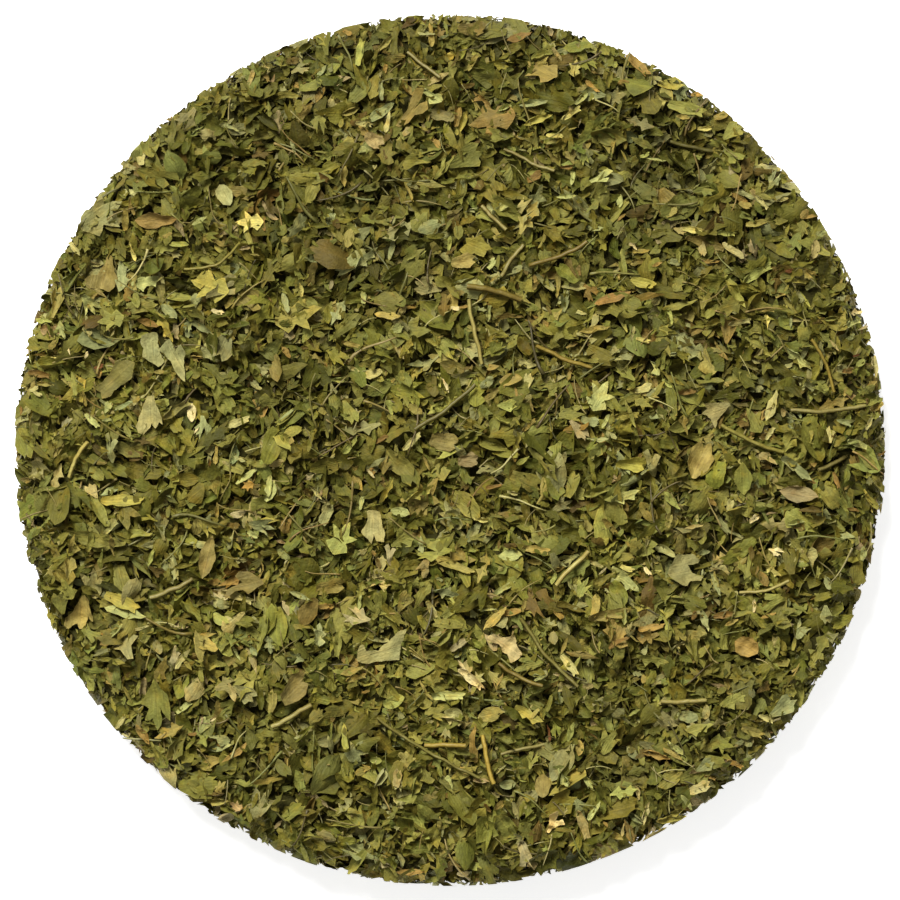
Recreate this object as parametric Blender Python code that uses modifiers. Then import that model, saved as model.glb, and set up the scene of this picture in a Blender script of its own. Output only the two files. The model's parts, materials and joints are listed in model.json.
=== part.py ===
"""A round, flat-topped heap of dried chervil, lying on a surface: rubbed leaf flakes with bits of stem.

Most flakes are fused to the packed inside of the heap in one solid, leaf_bed. The larger leaf pieces and
stems that lie loose on top are solids of their own. Metres, +Z up, origin under the middle of the heap.
"""

import math
import random

import bmesh
import bpy
import numpy as np
from mathutils import Matrix, Vector
from mathutils.bvhtree import BVHTree

MM = 0.001

# Driving dimensions of the heap.
HEAP_RADIUS = 70.0 * MM
CORE_RADIUS = 67.0 * MM
CORE_HEIGHT = 10.0 * MM
RIM_POWER = 11.0
SHOULDER_POWER = 0.6
SOLE_LIFT = 0.5 * MM

# The packed inside is turned from its profile's radii, as shares of its own radius, in this many steps.
CORE_SHARES = (0.0, 0.2, 0.4, 0.58, 0.74, 0.86, 0.93, 0.97, 0.99)
CORE_STEPS = 30
CORE_SEAM = 0.1 * MM
SOLE_MARGIN = 0.35 * MM
WELD_DISTANCE = 0.001 * MM
CUT_TOLERANCE = 0.0001 * MM
SLOPE_STEP = 0.2 * MM

# Shallow hollows where the flakes lie lower: x, y, depth and reach, in millimetres.
HOLLOWS = [
    (-11.0, 26.5, 1.6, 7.0),
    (32.0, 48.0, 1.6, 8.0),
    (-30.0, 12.0, 1.4, 7.0),
    (5.0, -5.0, 1.2, 6.0),
    (-10.0, -23.5, 1.4, 7.0),
    (45.0, -16.0, 1.4, 6.0),
    (-24.0, -52.0, 1.4, 7.0),
    (46.0, 33.0, 1.2, 7.0),
]

# Flakes of the bed, larger than life so that few of them cover it. A flake pivots on the core's
# surface at a share of its length from the root, which leaves the root sunk and the tip standing out.
FLAKE_THICKNESS = 0.7 * MM
FLAKE_LENGTH = (11.0 * MM, 14.5 * MM)
FLAKE_WIDTH_SHARE = (0.70, 0.90)
FLAKE_TILT = (4.0, 15.0)
FLAKE_CREASES = (0.0, 0.0, 0.15, -0.15)
FLAKE_PIVOT = 0.28
TOP_FLAKES = 104
TOP_REACH = 59.0 * MM
GOLDEN_ANGLE = math.radians(137.508)

# Rings of flakes round the side, lying along it: height, count and length.
SIDE_RINGS = [
    (7.9 * MM, 25, 11.5 * MM),
    (5.0 * MM, 26, 9.5 * MM),
    (3.2 * MM, 24, 8.0 * MM),
]
SIDE_SINK = 0.2 * MM
SIDE_SPREAD = 25.0

# Flakes that lie flat round the foot.
APRON_FLAKES = 20
APRON_RADIUS = 63.5 * MM
APRON_HEIGHT = 0.75 * MM
APRON_LENGTH = 8.8 * MM
APRON_SPREAD = 15.0

# Of this many seeded draws, a flake takes the one that cuts its neighbours least.
DRAWS = 10
NEIGHBOUR_REACH = 16.0 * MM
FLOOR_CLEARANCE = 0.2 * MM
BED_SEED = 11

# Faces of the fused bed that meet at less than this angle, in radians, become one.
FLAT_ANGLE = 0.002

# Three flakes under the heap carry it.
FOOT_FLAKES = 3
FOOT_TURN = math.radians(30.0)
FOOT_RADIUS = 44.0 * MM
FOOT_LENGTH = 15.0 * MM
FOOT_WIDTH = 12.0 * MM
FOOT_THICKNESS = 1.2 * MM

# Loose pieces keep this gap to what they lie on.
REST_GAP = 0.35 * MM
REST_STEP = 0.35 * MM
STEEPEST_REST = 0.55
FAR = 1.0

# Flake outlines: the root is at y = 0 and the furthest tip at y = 1, and x runs from -0.5 to 0.5.
OUTLINES = {
    "claw": [(-0.10, 0.0), (0.10, 0.0), (0.32, 0.38), (0.50, 0.80), (0.18, 0.58), (0.06, 1.0),
             (-0.14, 0.60), (-0.50, 0.90), (-0.34, 0.36)],
    "fan": [(-0.07, 0.0), (0.09, 0.0), (0.50, 0.72), (0.24, 0.80), (0.12, 1.0), (-0.06, 0.82),
            (-0.24, 0.96), (-0.50, 0.66)],
    "forked": [(-0.10, 0.0), (0.08, 0.0), (0.20, 0.40), (0.50, 0.72), (0.22, 0.78), (0.0, 0.52),
               (-0.14, 1.0), (-0.46, 0.84), (-0.20, 0.38)],
    "five_lobed": [(-0.06, 0.0), (0.08, 0.0), (0.44, 0.20), (0.24, 0.40), (0.50, 0.66), (0.17, 0.66),
                   (0.02, 1.0), (-0.17, 0.68), (-0.50, 0.70), (-0.26, 0.42), (-0.42, 0.24)],
    "oval": [(0.0, 0.0), (0.34, 0.18), (0.50, 0.50), (0.36, 0.80), (0.04, 1.0), (-0.34, 0.84),
             (-0.50, 0.48), (-0.32, 0.16)],
    "boat": [(0.0, 0.0), (0.36, 0.22), (0.50, 0.50), (0.28, 0.78), (0.0, 1.0), (-0.34, 0.74),
             (-0.50, 0.44), (-0.30, 0.18)],
    "torn": [(-0.30, 0.06), (0.18, 0.0), (0.38, 0.26), (0.50, 0.66), (0.26, 0.90), (0.06, 0.80),
             (-0.16, 1.0), (-0.50, 0.72), (-0.36, 0.42)],
    "tripoint": [(-0.12, 0.06), (0.16, 0.0), (0.50, 0.12), (0.26, 0.40), (0.10, 1.0), (-0.10, 0.56),
                 (-0.50, 0.34)],
}
BED_KINDS = ["claw", "fan", "forked", "five_lobed", "oval", "torn", "tripoint"]

# Larger leaf pieces loose on top: outline, x, y, length, width in millimetres, heading in degrees, the
# side it is folded to (1 for edges down, -1 for edges up) and finish.
LOOSE_LEAVES = {
    "pale_leaf_oblong": ("torn", -47.6, 16.0, 5.6, 3.6, 95, 1, "pale"),
    "pale_leaf_forked": ("forked", -43.8, 14.2, 7.2, 4.0, 119, 1, "pale"),
    "pale_leaf_three_lobed": ("claw", -47.8, 5.6, 6.4, 4.6, -95, -1, "pale"),
    "olive_leaf_long": ("torn", -53.4, 11.7, 8.0, 3.8, 40, -1, "olive"),
    "tan_leaf_three_pointed": ("tripoint", -55.4, 28.5, 6.0, 5.2, 75, 1, "tan"),
    "brown_leaf_boat": ("boat", -47.0, 36.8, 7.0, 2.8, 5, -1, "brown"),
    "cream_leaf_oval": ("oval", -36.0, 40.8, 3.8, 2.7, 120, -1, "pale"),
    "yellow_leaf_lobed": ("five_lobed", 4.4, 32.6, 5.0, 4.0, -20, -1, "yellow"),
    "cream_leaf_scrap_back": ("torn", -12.2, 49.5, 3.8, 2.6, -30, -1, "cream"),
    "golden_leaf_pointed": ("tripoint", -5.3, 46.2, 4.6, 2.9, 0, -1, "yellow"),
    "grey_leaf_scrap": ("torn", 2.2, 30.2, 4.2, 2.5, 10, -1, "tan"),
    "cream_leaf_claw": ("claw", -12.3, -12.3, 5.4, 3.8, -90, -1, "cream"),
    "tan_leaf_crumpled": ("torn", -1.0, 1.4, 4.6, 3.0, -10, -1, "tan"),
    "cream_leaf_scrap_middle": ("torn", 2.9, -1.6, 3.4, 2.5, 10, -1, "cream"),
    "tan_leaf_folded": ("fan", 39.9, -1.5, 6.4, 4.2, 62, -1, "tan"),
    "cream_leaf_curled": ("boat", 55.8, -7.1, 6.4, 2.9, -15, -1, "cream"),
    "green_leaf_lance": ("boat", 46.9, -4.6, 5.6, 3.0, -88, 1, "green"),
    "pale_leaf_maple": ("five_lobed", 37.6, -19.3, 6.2, 5.4, 20, -1, "pale"),
    "pale_leaf_fan": ("fan", 42.8, 5.9, 4.8, 4.3, 200, -1, "pale"),
    "golden_leaf_torn": ("torn", 29.0, -2.2, 5.0, 2.8, -5, 1, "yellow"),
    "tan_leaf_claw": ("claw", -59.0, -25.9, 6.0, 5.2, -100, -1, "tan"),
    "green_leaf_lobed": ("five_lobed", -47.1, -40.7, 8.6, 5.2, -90, 1, "green"),
    "pale_leaf_broad": ("forked", -10.8, -31.9, 9.0, 4.8, 15, -1, "pale"),
    "cream_leaf_torn": ("torn", 8.9, -31.1, 6.2, 4.0, -35, -1, "cream"),
    "cream_leaf_forked": ("forked", 16.5, -59.5, 4.4, 3.2, 60, -1, "cream"),
    "tan_leaf_oval": ("oval", 14.9, -53.7, 3.8, 2.7, 90, -1, "tan"),
    "brown_leaf_curled": ("oval", 47.5, -31.4, 4.2, 3.4, -30, -1, "brown"),
    "tan_leaf_boat": ("boat", -38.8, -17.1, 7.2, 2.7, 75, -1, "tan"),
    "tan_leaf_forked": ("forked", -33.0, -21.3, 6.6, 4.2, 10, -1, "tan"),
    "tan_leaf_torn": ("torn", -25.0, -38.0, 6.2, 4.0, 40, -1, "tan"),
}
LOOSE_LEAF_THICKNESS = 0.6 * MM
LOOSE_LEAF_CREASE = 0.22

# Stems loose on top: x, y, length in millimetres, heading in degrees, sideways bow and radius in millimetres.
STEMS = {
    "stem_back_pale": (-4.1, 61.6, 7.0, -36, 0.0, 0.40, "straw"),
    "stem_back_grey": (12.6, 46.4, 8.8, -24, 0.2, 0.36, "straw"),
    "stem_back_short": (7.0, 37.1, 5.8, -43, 0.0, 0.45, "straw"),
    "stem_golden_bow": (17.2, 31.7, 10.0, 19, 1.1, 0.45, "gold"),
    "stem_golden_thick": (7.0, 24.9, 9.0, -16, -0.4, 0.55, "gold"),
    "stem_straw_upright": (10.0, 30.4, 6.2, 55, 0.0, 0.45, "straw"),
    "stem_pale_upright": (4.2, 18.9, 10.6, -80, 0.4, 0.42, "straw"),
    "stem_olive_long": (-0.9, 7.0, 12.0, 37, 0.5, 0.42, "green"),
    "stem_brown": (18.2, 15.0, 9.8, -21, 0.3, 0.42, "gold"),
    "stem_bright": (19.5, -18.8, 7.4, 45, 0.0, 0.48, "straw"),
    "stem_left_cream": (-59.3, -1.7, 6.6, 65, -0.7, 0.45, "straw"),
    "stem_left_yellow": (-44.8, -22.1, 7.6, 24, 0.4, 0.45, "straw"),
    "stem_right_orange": (59.4, 13.4, 9.2, -65, -0.8, 0.38, "gold"),
    "stem_right_long": (60.5, 6.7, 12.0, 7, 0.5, 0.42, "straw"),
    "stem_right_pale": (61.5, -1.8, 6.6, 27, 0.3, 0.45, "straw"),
    "stem_right_green": (48.3, 1.8, 11.0, -24, 0.4, 0.42, "green"),
    "stem_right_thin": (50.2, -22.0, 8.2, 14, 0.4, 0.33, "straw"),
    "stem_left_thick": (-25.5, -42.2, 7.2, 30, 0.6, 0.55, "straw"),
    "stem_front_flat": (-0.8, -47.2, 6.4, 0, 0.0, 0.50, "gold"),
    "stem_front_upright": (6.4, -49.4, 8.0, -80, 0.5, 0.52, "gold"),
    "stem_front_straw": (11.6, -47.8, 7.2, 11, 0.0, 0.33, "straw"),
    "stem_front_long": (-3.4, -47.6, 19.0, -31, 0.6, 0.33, "green"),
    "stem_front_green": (16.1, -32.2, 14.0, -49, 1.0, 0.42, "green"),
    "stem_front_brown": (11.2, -35.9, 7.8, -28, 0.5, 0.38, "gold"),
    "stem_yellow_flat": (37.3, -40.1, 7.4, -1, 0.2, 0.45, "straw"),
    "stem_left_tendril": (-38.1, 31.0, 9.8, 28, 1.6, 0.30, "green"),
    "stem_right_back": (38.5, 48.6, 7.0, -10, 0.2, 0.45, "green"),
}
STEM_POINTS = 5
STEM_BEVEL_RESOLUTION = 1
STEM_END_TAPER = 0.8

# Colour, roughness and metallic value of each finish.
FINISHES = {
    "leaf": (0.125, 0.140, 0.030),
    "green": (0.130, 0.175, 0.040),
    "olive": (0.180, 0.170, 0.070),
    "pale": (0.330, 0.340, 0.160),
    "yellow": (0.320, 0.270, 0.060),
    "tan": (0.330, 0.235, 0.095),
    "cream": (0.560, 0.430, 0.240),
    "brown": (0.210, 0.110, 0.035),
    "straw": (0.440, 0.380, 0.150),
    "gold": (0.300, 0.200, 0.040),
}
FINISH_ROUGHNESS = 0.65


def clear_scene():
    for obj in list(bpy.data.objects):
        bpy.data.objects.remove(obj, do_unlink=True)


def new_collection(name):
    group = bpy.data.collections.new(name)
    bpy.context.scene.collection.children.link(group)
    return group


def finish(name):
    """The Principled material of one finish, made the first time it is asked for."""
    found = bpy.data.materials.get("chervil_" + name)
    if found:
        return found
    made = bpy.data.materials.new("chervil_" + name)
    made.use_nodes = True
    shader = made.node_tree.nodes["Principled BSDF"]
    shader.inputs["Base Color"].default_value = (*FINISHES[name], 1.0)
    shader.inputs["Roughness"].default_value = FINISH_ROUGHNESS
    shader.inputs["Metallic"].default_value = 0.0
    return made


def hollow_depth(x, y):
    """How far the hollows lower the top at x, y."""
    depth = 0.0
    for centre_x, centre_y, deepest, reach in HOLLOWS:
        away = math.hypot(x / MM - centre_x, y / MM - centre_y) / reach
        depth += deepest * MM * math.exp(-away * away)
    return depth


def core_height(x, y):
    """Top of the packed inside: flat in the middle, round at the shoulder, steep at the rim."""
    share = min(1.0, math.hypot(x, y) / CORE_RADIUS)
    edge = (1.0 - share**RIM_POWER) ** SHOULDER_POWER
    return SOLE_LIFT + (CORE_HEIGHT - SOLE_LIFT - hollow_depth(x, y)) * edge


def core_radius(height):
    """Radius of the packed inside at a height on its side."""
    share = (height - SOLE_LIFT) / (CORE_HEIGHT - SOLE_LIFT)
    return CORE_RADIUS * (1.0 - share ** (1.0 / SHOULDER_POWER)) ** (1.0 / RIM_POWER)


def core_normal(x, y):
    """Outward direction of the packed inside at x, y."""
    slope_x = (core_height(x + SLOPE_STEP, y) - core_height(x - SLOPE_STEP, y)) / (2 * SLOPE_STEP)
    slope_y = (core_height(x, y + SLOPE_STEP) - core_height(x, y - SLOPE_STEP)) / (2 * SLOPE_STEP)
    return Vector((-slope_x, -slope_y, 1.0)).normalized()


def evaluated_mesh(obj):
    """A mesh of the object with its modifiers and curve settings applied."""
    graph = bpy.context.evaluated_depsgraph_get()
    graph.update()
    return bpy.data.meshes.new_from_object(obj.evaluated_get(graph))


def face_outwards(mesh):
    shape = bmesh.new()
    shape.from_mesh(mesh)
    bmesh.ops.recalc_face_normals(shape, faces=shape.faces)
    shape.to_mesh(mesh)
    shape.free()


def mesh_from_curve(curve):
    """Welds the caps of a filled or bevelled curve and returns the closed mesh."""
    guide = bpy.data.objects.new("guide", curve)
    bpy.context.scene.collection.objects.link(guide)
    mesh = evaluated_mesh(guide)
    bpy.data.objects.remove(guide, do_unlink=True)
    bpy.data.curves.remove(curve)
    shape = bmesh.new()
    shape.from_mesh(mesh)
    bmesh.ops.remove_doubles(shape, verts=shape.verts, dist=WELD_DISTANCE)
    shape.to_mesh(mesh)
    shape.free()
    face_outwards(mesh)
    return mesh


def flake_mesh(kind, length, width, thickness, crease):
    """A leaf flake: its outline filled and thickened, then folded by a crease along the midrib."""
    curve = bpy.data.curves.new("flake", "CURVE")
    curve.dimensions = "2D"
    curve.fill_mode = "BOTH"
    curve.extrude = thickness / 2
    outline = OUTLINES[kind]
    spline = curve.splines.new("POLY")
    spline.points.add(len(outline) - 1)
    for point, (x, y) in zip(spline.points, outline):
        point.co = (x * width, (y - 0.5) * length, 0.0, 1.0)
    spline.use_cyclic_u = True
    mesh = mesh_from_curve(curve)
    shape = bmesh.new()
    shape.from_mesh(mesh)
    everything = shape.verts[:] + shape.edges[:] + shape.faces[:]
    bmesh.ops.bisect_plane(
        shape, geom=everything, dist=CUT_TOLERANCE, plane_co=(0, 0, 0), plane_no=(1, 0, 0)
    )
    for vertex in shape.verts:
        vertex.co.z -= crease * abs(vertex.co.x)
    shape.to_mesh(mesh)
    shape.free()
    return mesh


def lying_on(normal, heading):
    """Rotation that lays a flake on a slope: z along the normal, y along the heading."""
    forward = (heading - normal * heading.dot(normal)).normalized()
    across = forward.cross(normal)
    return Matrix((across, forward, normal)).transposed()


def packed_core():
    """The turned inside of the heap, with the hollows pressed into its top."""
    profile = bpy.data.meshes.new("leaf_bed")
    radii = [share * CORE_RADIUS for share in CORE_SHARES]
    points = [(radius, 0.0, core_height(radius, 0.0)) for radius in radii]
    points += [(CORE_RADIUS, 0.0, SOLE_LIFT), (0.0, 0.0, SOLE_LIFT)]
    profile.from_pydata(points, [(i, i + 1) for i in range(len(points) - 1)], [])
    core = bpy.data.objects.new("leaf_bed", profile)
    bpy.context.scene.collection.objects.link(core)
    turn = core.modifiers.new("turn", "SCREW")
    turn.steps = turn.render_steps = CORE_STEPS
    turn.use_merge_vertices = True
    turn.merge_threshold = CORE_SEAM
    turn.use_smooth_shade = False
    solid = evaluated_mesh(core)
    face_outwards(solid)
    core.modifiers.remove(turn)
    core.data = solid
    for vertex in solid.vertices:
        x, y, z = vertex.co
        if z > SOLE_LIFT + SOLE_MARGIN:
            vertex.co.z = core_height(x, y)
    return core


def flake_spots():
    """Where flakes grow: point, normal, tilt range, middle heading, spread of headings and lengths."""
    for i in range(TOP_FLAKES):
        radius = TOP_REACH * math.sqrt((i + 0.5) / TOP_FLAKES)
        angle = i * GOLDEN_ANGLE
        x, y = radius * math.cos(angle), radius * math.sin(angle)
        yield Vector((x, y, core_height(x, y))), core_normal(x, y), FLAKE_TILT, angle, 180.0, FLAKE_LENGTH
    for height, count, length in SIDE_RINGS:
        for i in range(count):
            angle = math.tau * (i + height / CORE_HEIGHT) / count
            outward = Vector((math.cos(angle), math.sin(angle), 0.0))
            surface = outward * core_radius(height)
            normal = core_normal(surface.x, surface.y)
            point = surface + Vector((0, 0, height)) - normal * SIDE_SINK
            along = angle + (math.pi / 2 if i % 2 else -math.pi / 2)
            yield point, normal, FLAKE_TILT, along, SIDE_SPREAD, (length, length)
    for i in range(APRON_FLAKES):
        angle = math.tau * i / APRON_FLAKES
        point = Vector((APRON_RADIUS * math.cos(angle), APRON_RADIUS * math.sin(angle), APRON_HEIGHT))
        yield point, Vector((0, 0, 1)), (0.0, 0.0), angle, APRON_SPREAD, (APRON_LENGTH, APRON_LENGTH)


def drawn_flake(rng, kind, point, normal, tilts, heading, spread, lengths):
    """One draw of a flake: its root sunk in the core and its tip standing out."""
    length = rng.uniform(*lengths)
    width = length * rng.uniform(*FLAKE_WIDTH_SHARE)
    mesh = flake_mesh(kind, length, width, FLAKE_THICKNESS, rng.choice(FLAKE_CREASES))
    angle = heading + math.radians(rng.uniform(-spread, spread))
    turn = lying_on(normal, Vector((math.cos(angle), math.sin(angle), 0.0)))
    tilt = Matrix.Rotation(math.radians(rng.uniform(*tilts)), 4, "X")
    pivot = Matrix.Translation((0.0, length * (0.5 - FLAKE_PIVOT), 0.0))
    mesh.transform(Matrix.Translation(point) @ turn.to_4x4() @ tilt @ pivot)
    return mesh


def inside_heap(mesh):
    return all(
        math.hypot(v.co.x, v.co.y) < HEAP_RADIUS and v.co.z > FLOOR_CLEARANCE for v in mesh.vertices
    )


def tree_of(mesh):
    return BVHTree.FromPolygons([v.co for v in mesh.vertices], [p.vertices for p in mesh.polygons])


def bed_flakes():
    """Every flake of the bed, each in the pose that cuts its neighbours least."""
    rng = random.Random(BED_SEED)
    placed = []
    for spot in flake_spots():
        point = spot[0]
        near = [tree for other, tree, _ in placed if (other - point).length < NEIGHBOUR_REACH]
        kind = rng.choice(BED_KINDS)
        best = None
        for _ in range(DRAWS):
            mesh = drawn_flake(rng, kind, *spot)
            tree = tree_of(mesh)
            cuts = sum(len(tree.overlap(other)) for other in near)
            if inside_heap(mesh) and (best is None or cuts < best[0]):
                best = (cuts, point, tree, mesh)
            else:
                bpy.data.meshes.remove(mesh)
        if best:
            placed.append(best[1:])
    return [mesh for _, _, mesh in placed]


def foot_flake(number):
    """A flake lying flat under the heap."""
    mesh = flake_mesh("oval", FOOT_LENGTH, FOOT_WIDTH, FOOT_THICKNESS, 0.0)
    angle = FOOT_TURN + math.tau * number / FOOT_FLAKES
    place = Vector((FOOT_RADIUS * math.cos(angle), FOOT_RADIUS * math.sin(angle), FOOT_THICKNESS / 2))
    mesh.transform(Matrix.Translation(place) @ Matrix.Rotation(angle, 4, "Z"))
    return mesh


def dissolve_flat_edges(mesh):
    """Takes out the edges that the union leaves across flat faces, which halves the triangles."""
    shape = bmesh.new()
    shape.from_mesh(mesh)
    bmesh.ops.dissolve_limit(shape, angle_limit=FLAT_ANGLE, verts=shape.verts, edges=shape.edges)
    bmesh.ops.triangulate(shape, faces=shape.faces)
    shape.to_mesh(mesh)
    shape.free()


def keep_outer_body(mesh):
    """Fills the hollows that fusing sealed and drops scraps, by keeping only the largest shell."""
    shape = bmesh.new()
    shape.from_mesh(mesh)
    unseen = set(shape.verts)
    shells = []
    while unseen:
        front = [unseen.pop()]
        shell = list(front)
        while front:
            for edge in front.pop().link_edges:
                for vertex in edge.verts:
                    if vertex in unseen:
                        unseen.remove(vertex)
                        shell.append(vertex)
                        front.append(vertex)
        shells.append(shell)
    shells.sort(key=len)
    for shell in shells[:-1]:
        bmesh.ops.delete(shape, geom=shell, context="VERTS")
    shape.to_mesh(mesh)
    shape.free()


def leaf_bed(group):
    """The packed inside with every flake of the bed fused to it."""
    core = packed_core()
    flakes = new_collection("bed flakes")
    for mesh in bed_flakes() + [foot_flake(number) for number in range(FOOT_FLAKES)]:
        flakes.objects.link(bpy.data.objects.new("flake", mesh))
    join = core.modifiers.new("join", "BOOLEAN")
    join.operation = "UNION"
    join.operand_type = "COLLECTION"
    join.collection = flakes
    join.solver = "MANIFOLD"
    fused = evaluated_mesh(core)
    keep_outer_body(fused)
    dissolve_flat_edges(fused)
    bpy.data.objects.remove(core, do_unlink=True)
    for obj in list(flakes.objects):
        bpy.data.objects.remove(obj, do_unlink=True)
    bpy.data.collections.remove(flakes)
    fused.name = "leaf_bed"
    fused.materials.clear()
    fused.materials.append(finish("leaf"))
    bed = bpy.data.objects.new("leaf_bed", fused)
    group.objects.link(bed)
    return bed


def height_seen(tree, x, y, from_above):
    """Height of a shape at x, y: its top seen from above, or its underside seen from below."""
    start = FAR if from_above else -FAR
    found = tree.ray_cast(Vector((x, y, start)), Vector((0, 0, -1 if from_above else 1)))[0]
    return None if found is None else found.z


def pile_top(pile, x, y):
    """Height of the highest thing in the pile at x, y, or None beside it."""
    found = [height_seen(tree, x, y, from_above=True) for tree, _ in pile]
    return max((z for z in found if z is not None), default=None)


def grid_under(mesh):
    """Grid of x, y over the mesh's box."""
    xs = [v.co.x for v in mesh.vertices]
    ys = [v.co.y for v in mesh.vertices]
    for x in np.arange(min(xs), max(xs), REST_STEP):
        for y in np.arange(min(ys), max(ys), REST_STEP):
            yield x, y


def slope_under(pile, mesh):
    """Upward direction of the plane that fits the pile's top under a mesh, eased where it is steep."""
    shape = tree_of(mesh)
    covered = [(x, y) for x, y in grid_under(mesh) if height_seen(shape, x, y, from_above=False) is not None]
    tops = [(x, y, pile_top(pile, x, y)) for x, y in covered]
    grid = np.array([top for top in tops if top[2] is not None])
    columns = np.column_stack([grid[:, 0], grid[:, 1], np.ones(len(grid))])
    slope_x, slope_y, _ = np.linalg.lstsq(columns, grid[:, 2], rcond=None)[0]
    easing = min(1.0, STEEPEST_REST / max(math.hypot(slope_x, slope_y), 1e-9))
    return Vector((-slope_x * easing, -slope_y * easing, 1.0)).normalized()


def gaps_under(pile, mesh):
    """Gaps between a mesh and the pile: over a grid, at the mesh's own corners and at the pile's."""
    shape = tree_of(mesh)
    for x, y in grid_under(mesh):
        low, top = height_seen(shape, x, y, from_above=False), pile_top(pile, x, y)
        if low is not None and top is not None:
            yield low - top
    for vertex in mesh.vertices:
        top = pile_top(pile, vertex.co.x, vertex.co.y)
        if top is not None:
            yield vertex.co.z - top
    middle = Vector((mesh.vertices[0].co.x, mesh.vertices[0].co.y))
    for _, points in pile:
        for point in points:
            if (point.xy - middle).length < NEIGHBOUR_REACH:
                low = height_seen(shape, point.x, point.y, from_above=False)
                if low is not None:
                    yield low - point.z


def add_to_pile(pile, mesh):
    pile.append((tree_of(mesh), [v.co.copy() for v in mesh.vertices]))


def lay_down(name, mesh, x, y, heading, pile, group):
    """Turns a loose piece to its heading and the slope under it, settles it and adds it to the pile."""
    place = Matrix.Translation((x, y, CORE_HEIGHT))
    flat = mesh.copy()
    forward = Vector((math.cos(heading), math.sin(heading), 0.0))
    flat.transform(place @ lying_on(Vector((0, 0, 1)), forward).to_4x4())
    normal = slope_under(pile, flat)
    bpy.data.meshes.remove(flat)
    mesh.transform(place @ lying_on(normal, forward).to_4x4())
    mesh.transform(Matrix.Translation((0, 0, REST_GAP - min(gaps_under(pile, mesh)))))
    add_to_pile(pile, mesh)
    mesh.name = name
    group.objects.link(bpy.data.objects.new(name, mesh))


def stem_mesh(length, bow, radius):
    """A stem bit along y: a tube bowed sideways in an arc and a little slimmer at its ends."""
    curve = bpy.data.curves.new("stem", "CURVE")
    curve.dimensions = "3D"
    curve.bevel_depth = radius
    curve.bevel_resolution = STEM_BEVEL_RESOLUTION
    curve.use_fill_caps = True
    spline = curve.splines.new("POLY")
    spline.points.add(STEM_POINTS - 1)
    for i, point in enumerate(spline.points):
        share = 2 * i / (STEM_POINTS - 1) - 1
        point.co = (bow * (1 - share * share), share * length / 2, 0.0, 1.0)
        point.radius = 1 - (1 - STEM_END_TAPER) * share * share
    return mesh_from_curve(curve)


def loose_leaves(pile, group):
    for name, (kind, x, y, length, width, heading, side, colour) in LOOSE_LEAVES.items():
        mesh = flake_mesh(kind, length * MM, width * MM, LOOSE_LEAF_THICKNESS, side * LOOSE_LEAF_CREASE)
        mesh.materials.append(finish(colour))
        lay_down(name, mesh, x * MM, y * MM, math.radians(heading), pile, group)


def loose_stems(pile, group):
    for name, (x, y, length, heading, bow, radius, colour) in STEMS.items():
        mesh = stem_mesh(length * MM, bow * MM, radius * MM)
        mesh.shade_smooth()
        mesh.materials.append(finish(colour))
        lay_down(name, mesh, x * MM, y * MM, math.radians(heading), pile, group)


def main():
    clear_scene()
    group = new_collection("dried chervil heap")
    pile = []
    add_to_pile(pile, leaf_bed(group).data)
    loose_leaves(pile, group)
    loose_stems(pile, group)


main()
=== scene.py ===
# %% [markdown]
# # A heap of dried chervil
#
# The real thing is a flat, round heap of rubbed chervil: thousands of torn leaf flakes a few
# millimetres long, with bits of stem among them, seen from straight above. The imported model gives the
# heap's outer size and the place of every larger leaf piece and stem on top. This lesson dresses it:
# it models a small family of curled flakes, lets thousands of them settle on a heap in code, and
# draws them all with one Geometry Nodes tree.
#
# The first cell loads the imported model. Everything after it is in metres, in the model's own frame.

# %% Load the frame
import json
import math
import random

import bmesh
import bpy
import numpy as np
from mathutils import Matrix, Vector
from mathutils.bvhtree import BVHTree
from mathutils.geometry import delaunay_2d_cdt

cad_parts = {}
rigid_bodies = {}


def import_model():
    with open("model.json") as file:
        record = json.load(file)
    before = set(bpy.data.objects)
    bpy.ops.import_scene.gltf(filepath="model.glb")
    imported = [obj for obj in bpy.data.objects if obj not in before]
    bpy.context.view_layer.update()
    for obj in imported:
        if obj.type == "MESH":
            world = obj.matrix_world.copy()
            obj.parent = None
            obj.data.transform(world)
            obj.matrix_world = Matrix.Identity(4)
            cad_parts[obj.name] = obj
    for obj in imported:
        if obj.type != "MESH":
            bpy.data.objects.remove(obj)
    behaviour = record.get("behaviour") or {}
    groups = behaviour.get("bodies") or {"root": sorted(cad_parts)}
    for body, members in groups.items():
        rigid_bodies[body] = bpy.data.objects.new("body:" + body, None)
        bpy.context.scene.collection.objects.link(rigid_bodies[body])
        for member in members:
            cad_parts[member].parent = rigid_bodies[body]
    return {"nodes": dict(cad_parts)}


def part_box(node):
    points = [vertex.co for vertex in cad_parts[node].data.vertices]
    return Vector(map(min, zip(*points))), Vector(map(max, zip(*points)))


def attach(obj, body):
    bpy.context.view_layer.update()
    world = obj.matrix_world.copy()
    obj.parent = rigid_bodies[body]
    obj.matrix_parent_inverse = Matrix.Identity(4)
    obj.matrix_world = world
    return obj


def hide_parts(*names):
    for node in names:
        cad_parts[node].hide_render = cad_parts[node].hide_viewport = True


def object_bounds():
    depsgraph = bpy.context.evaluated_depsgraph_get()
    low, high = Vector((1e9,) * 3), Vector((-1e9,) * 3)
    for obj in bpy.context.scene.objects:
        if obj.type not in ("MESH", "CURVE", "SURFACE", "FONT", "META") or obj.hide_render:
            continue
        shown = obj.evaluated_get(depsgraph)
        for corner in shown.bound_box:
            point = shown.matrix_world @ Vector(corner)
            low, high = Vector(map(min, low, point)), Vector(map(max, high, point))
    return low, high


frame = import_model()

MM = 0.001
cad_low, cad_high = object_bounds()
HEAP_RADIUS = (cad_high.x - cad_low.x) / 2
print("heap radius", round(HEAP_RADIUS / MM, 1), "mm, nodes", len(frame["nodes"]))

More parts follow.
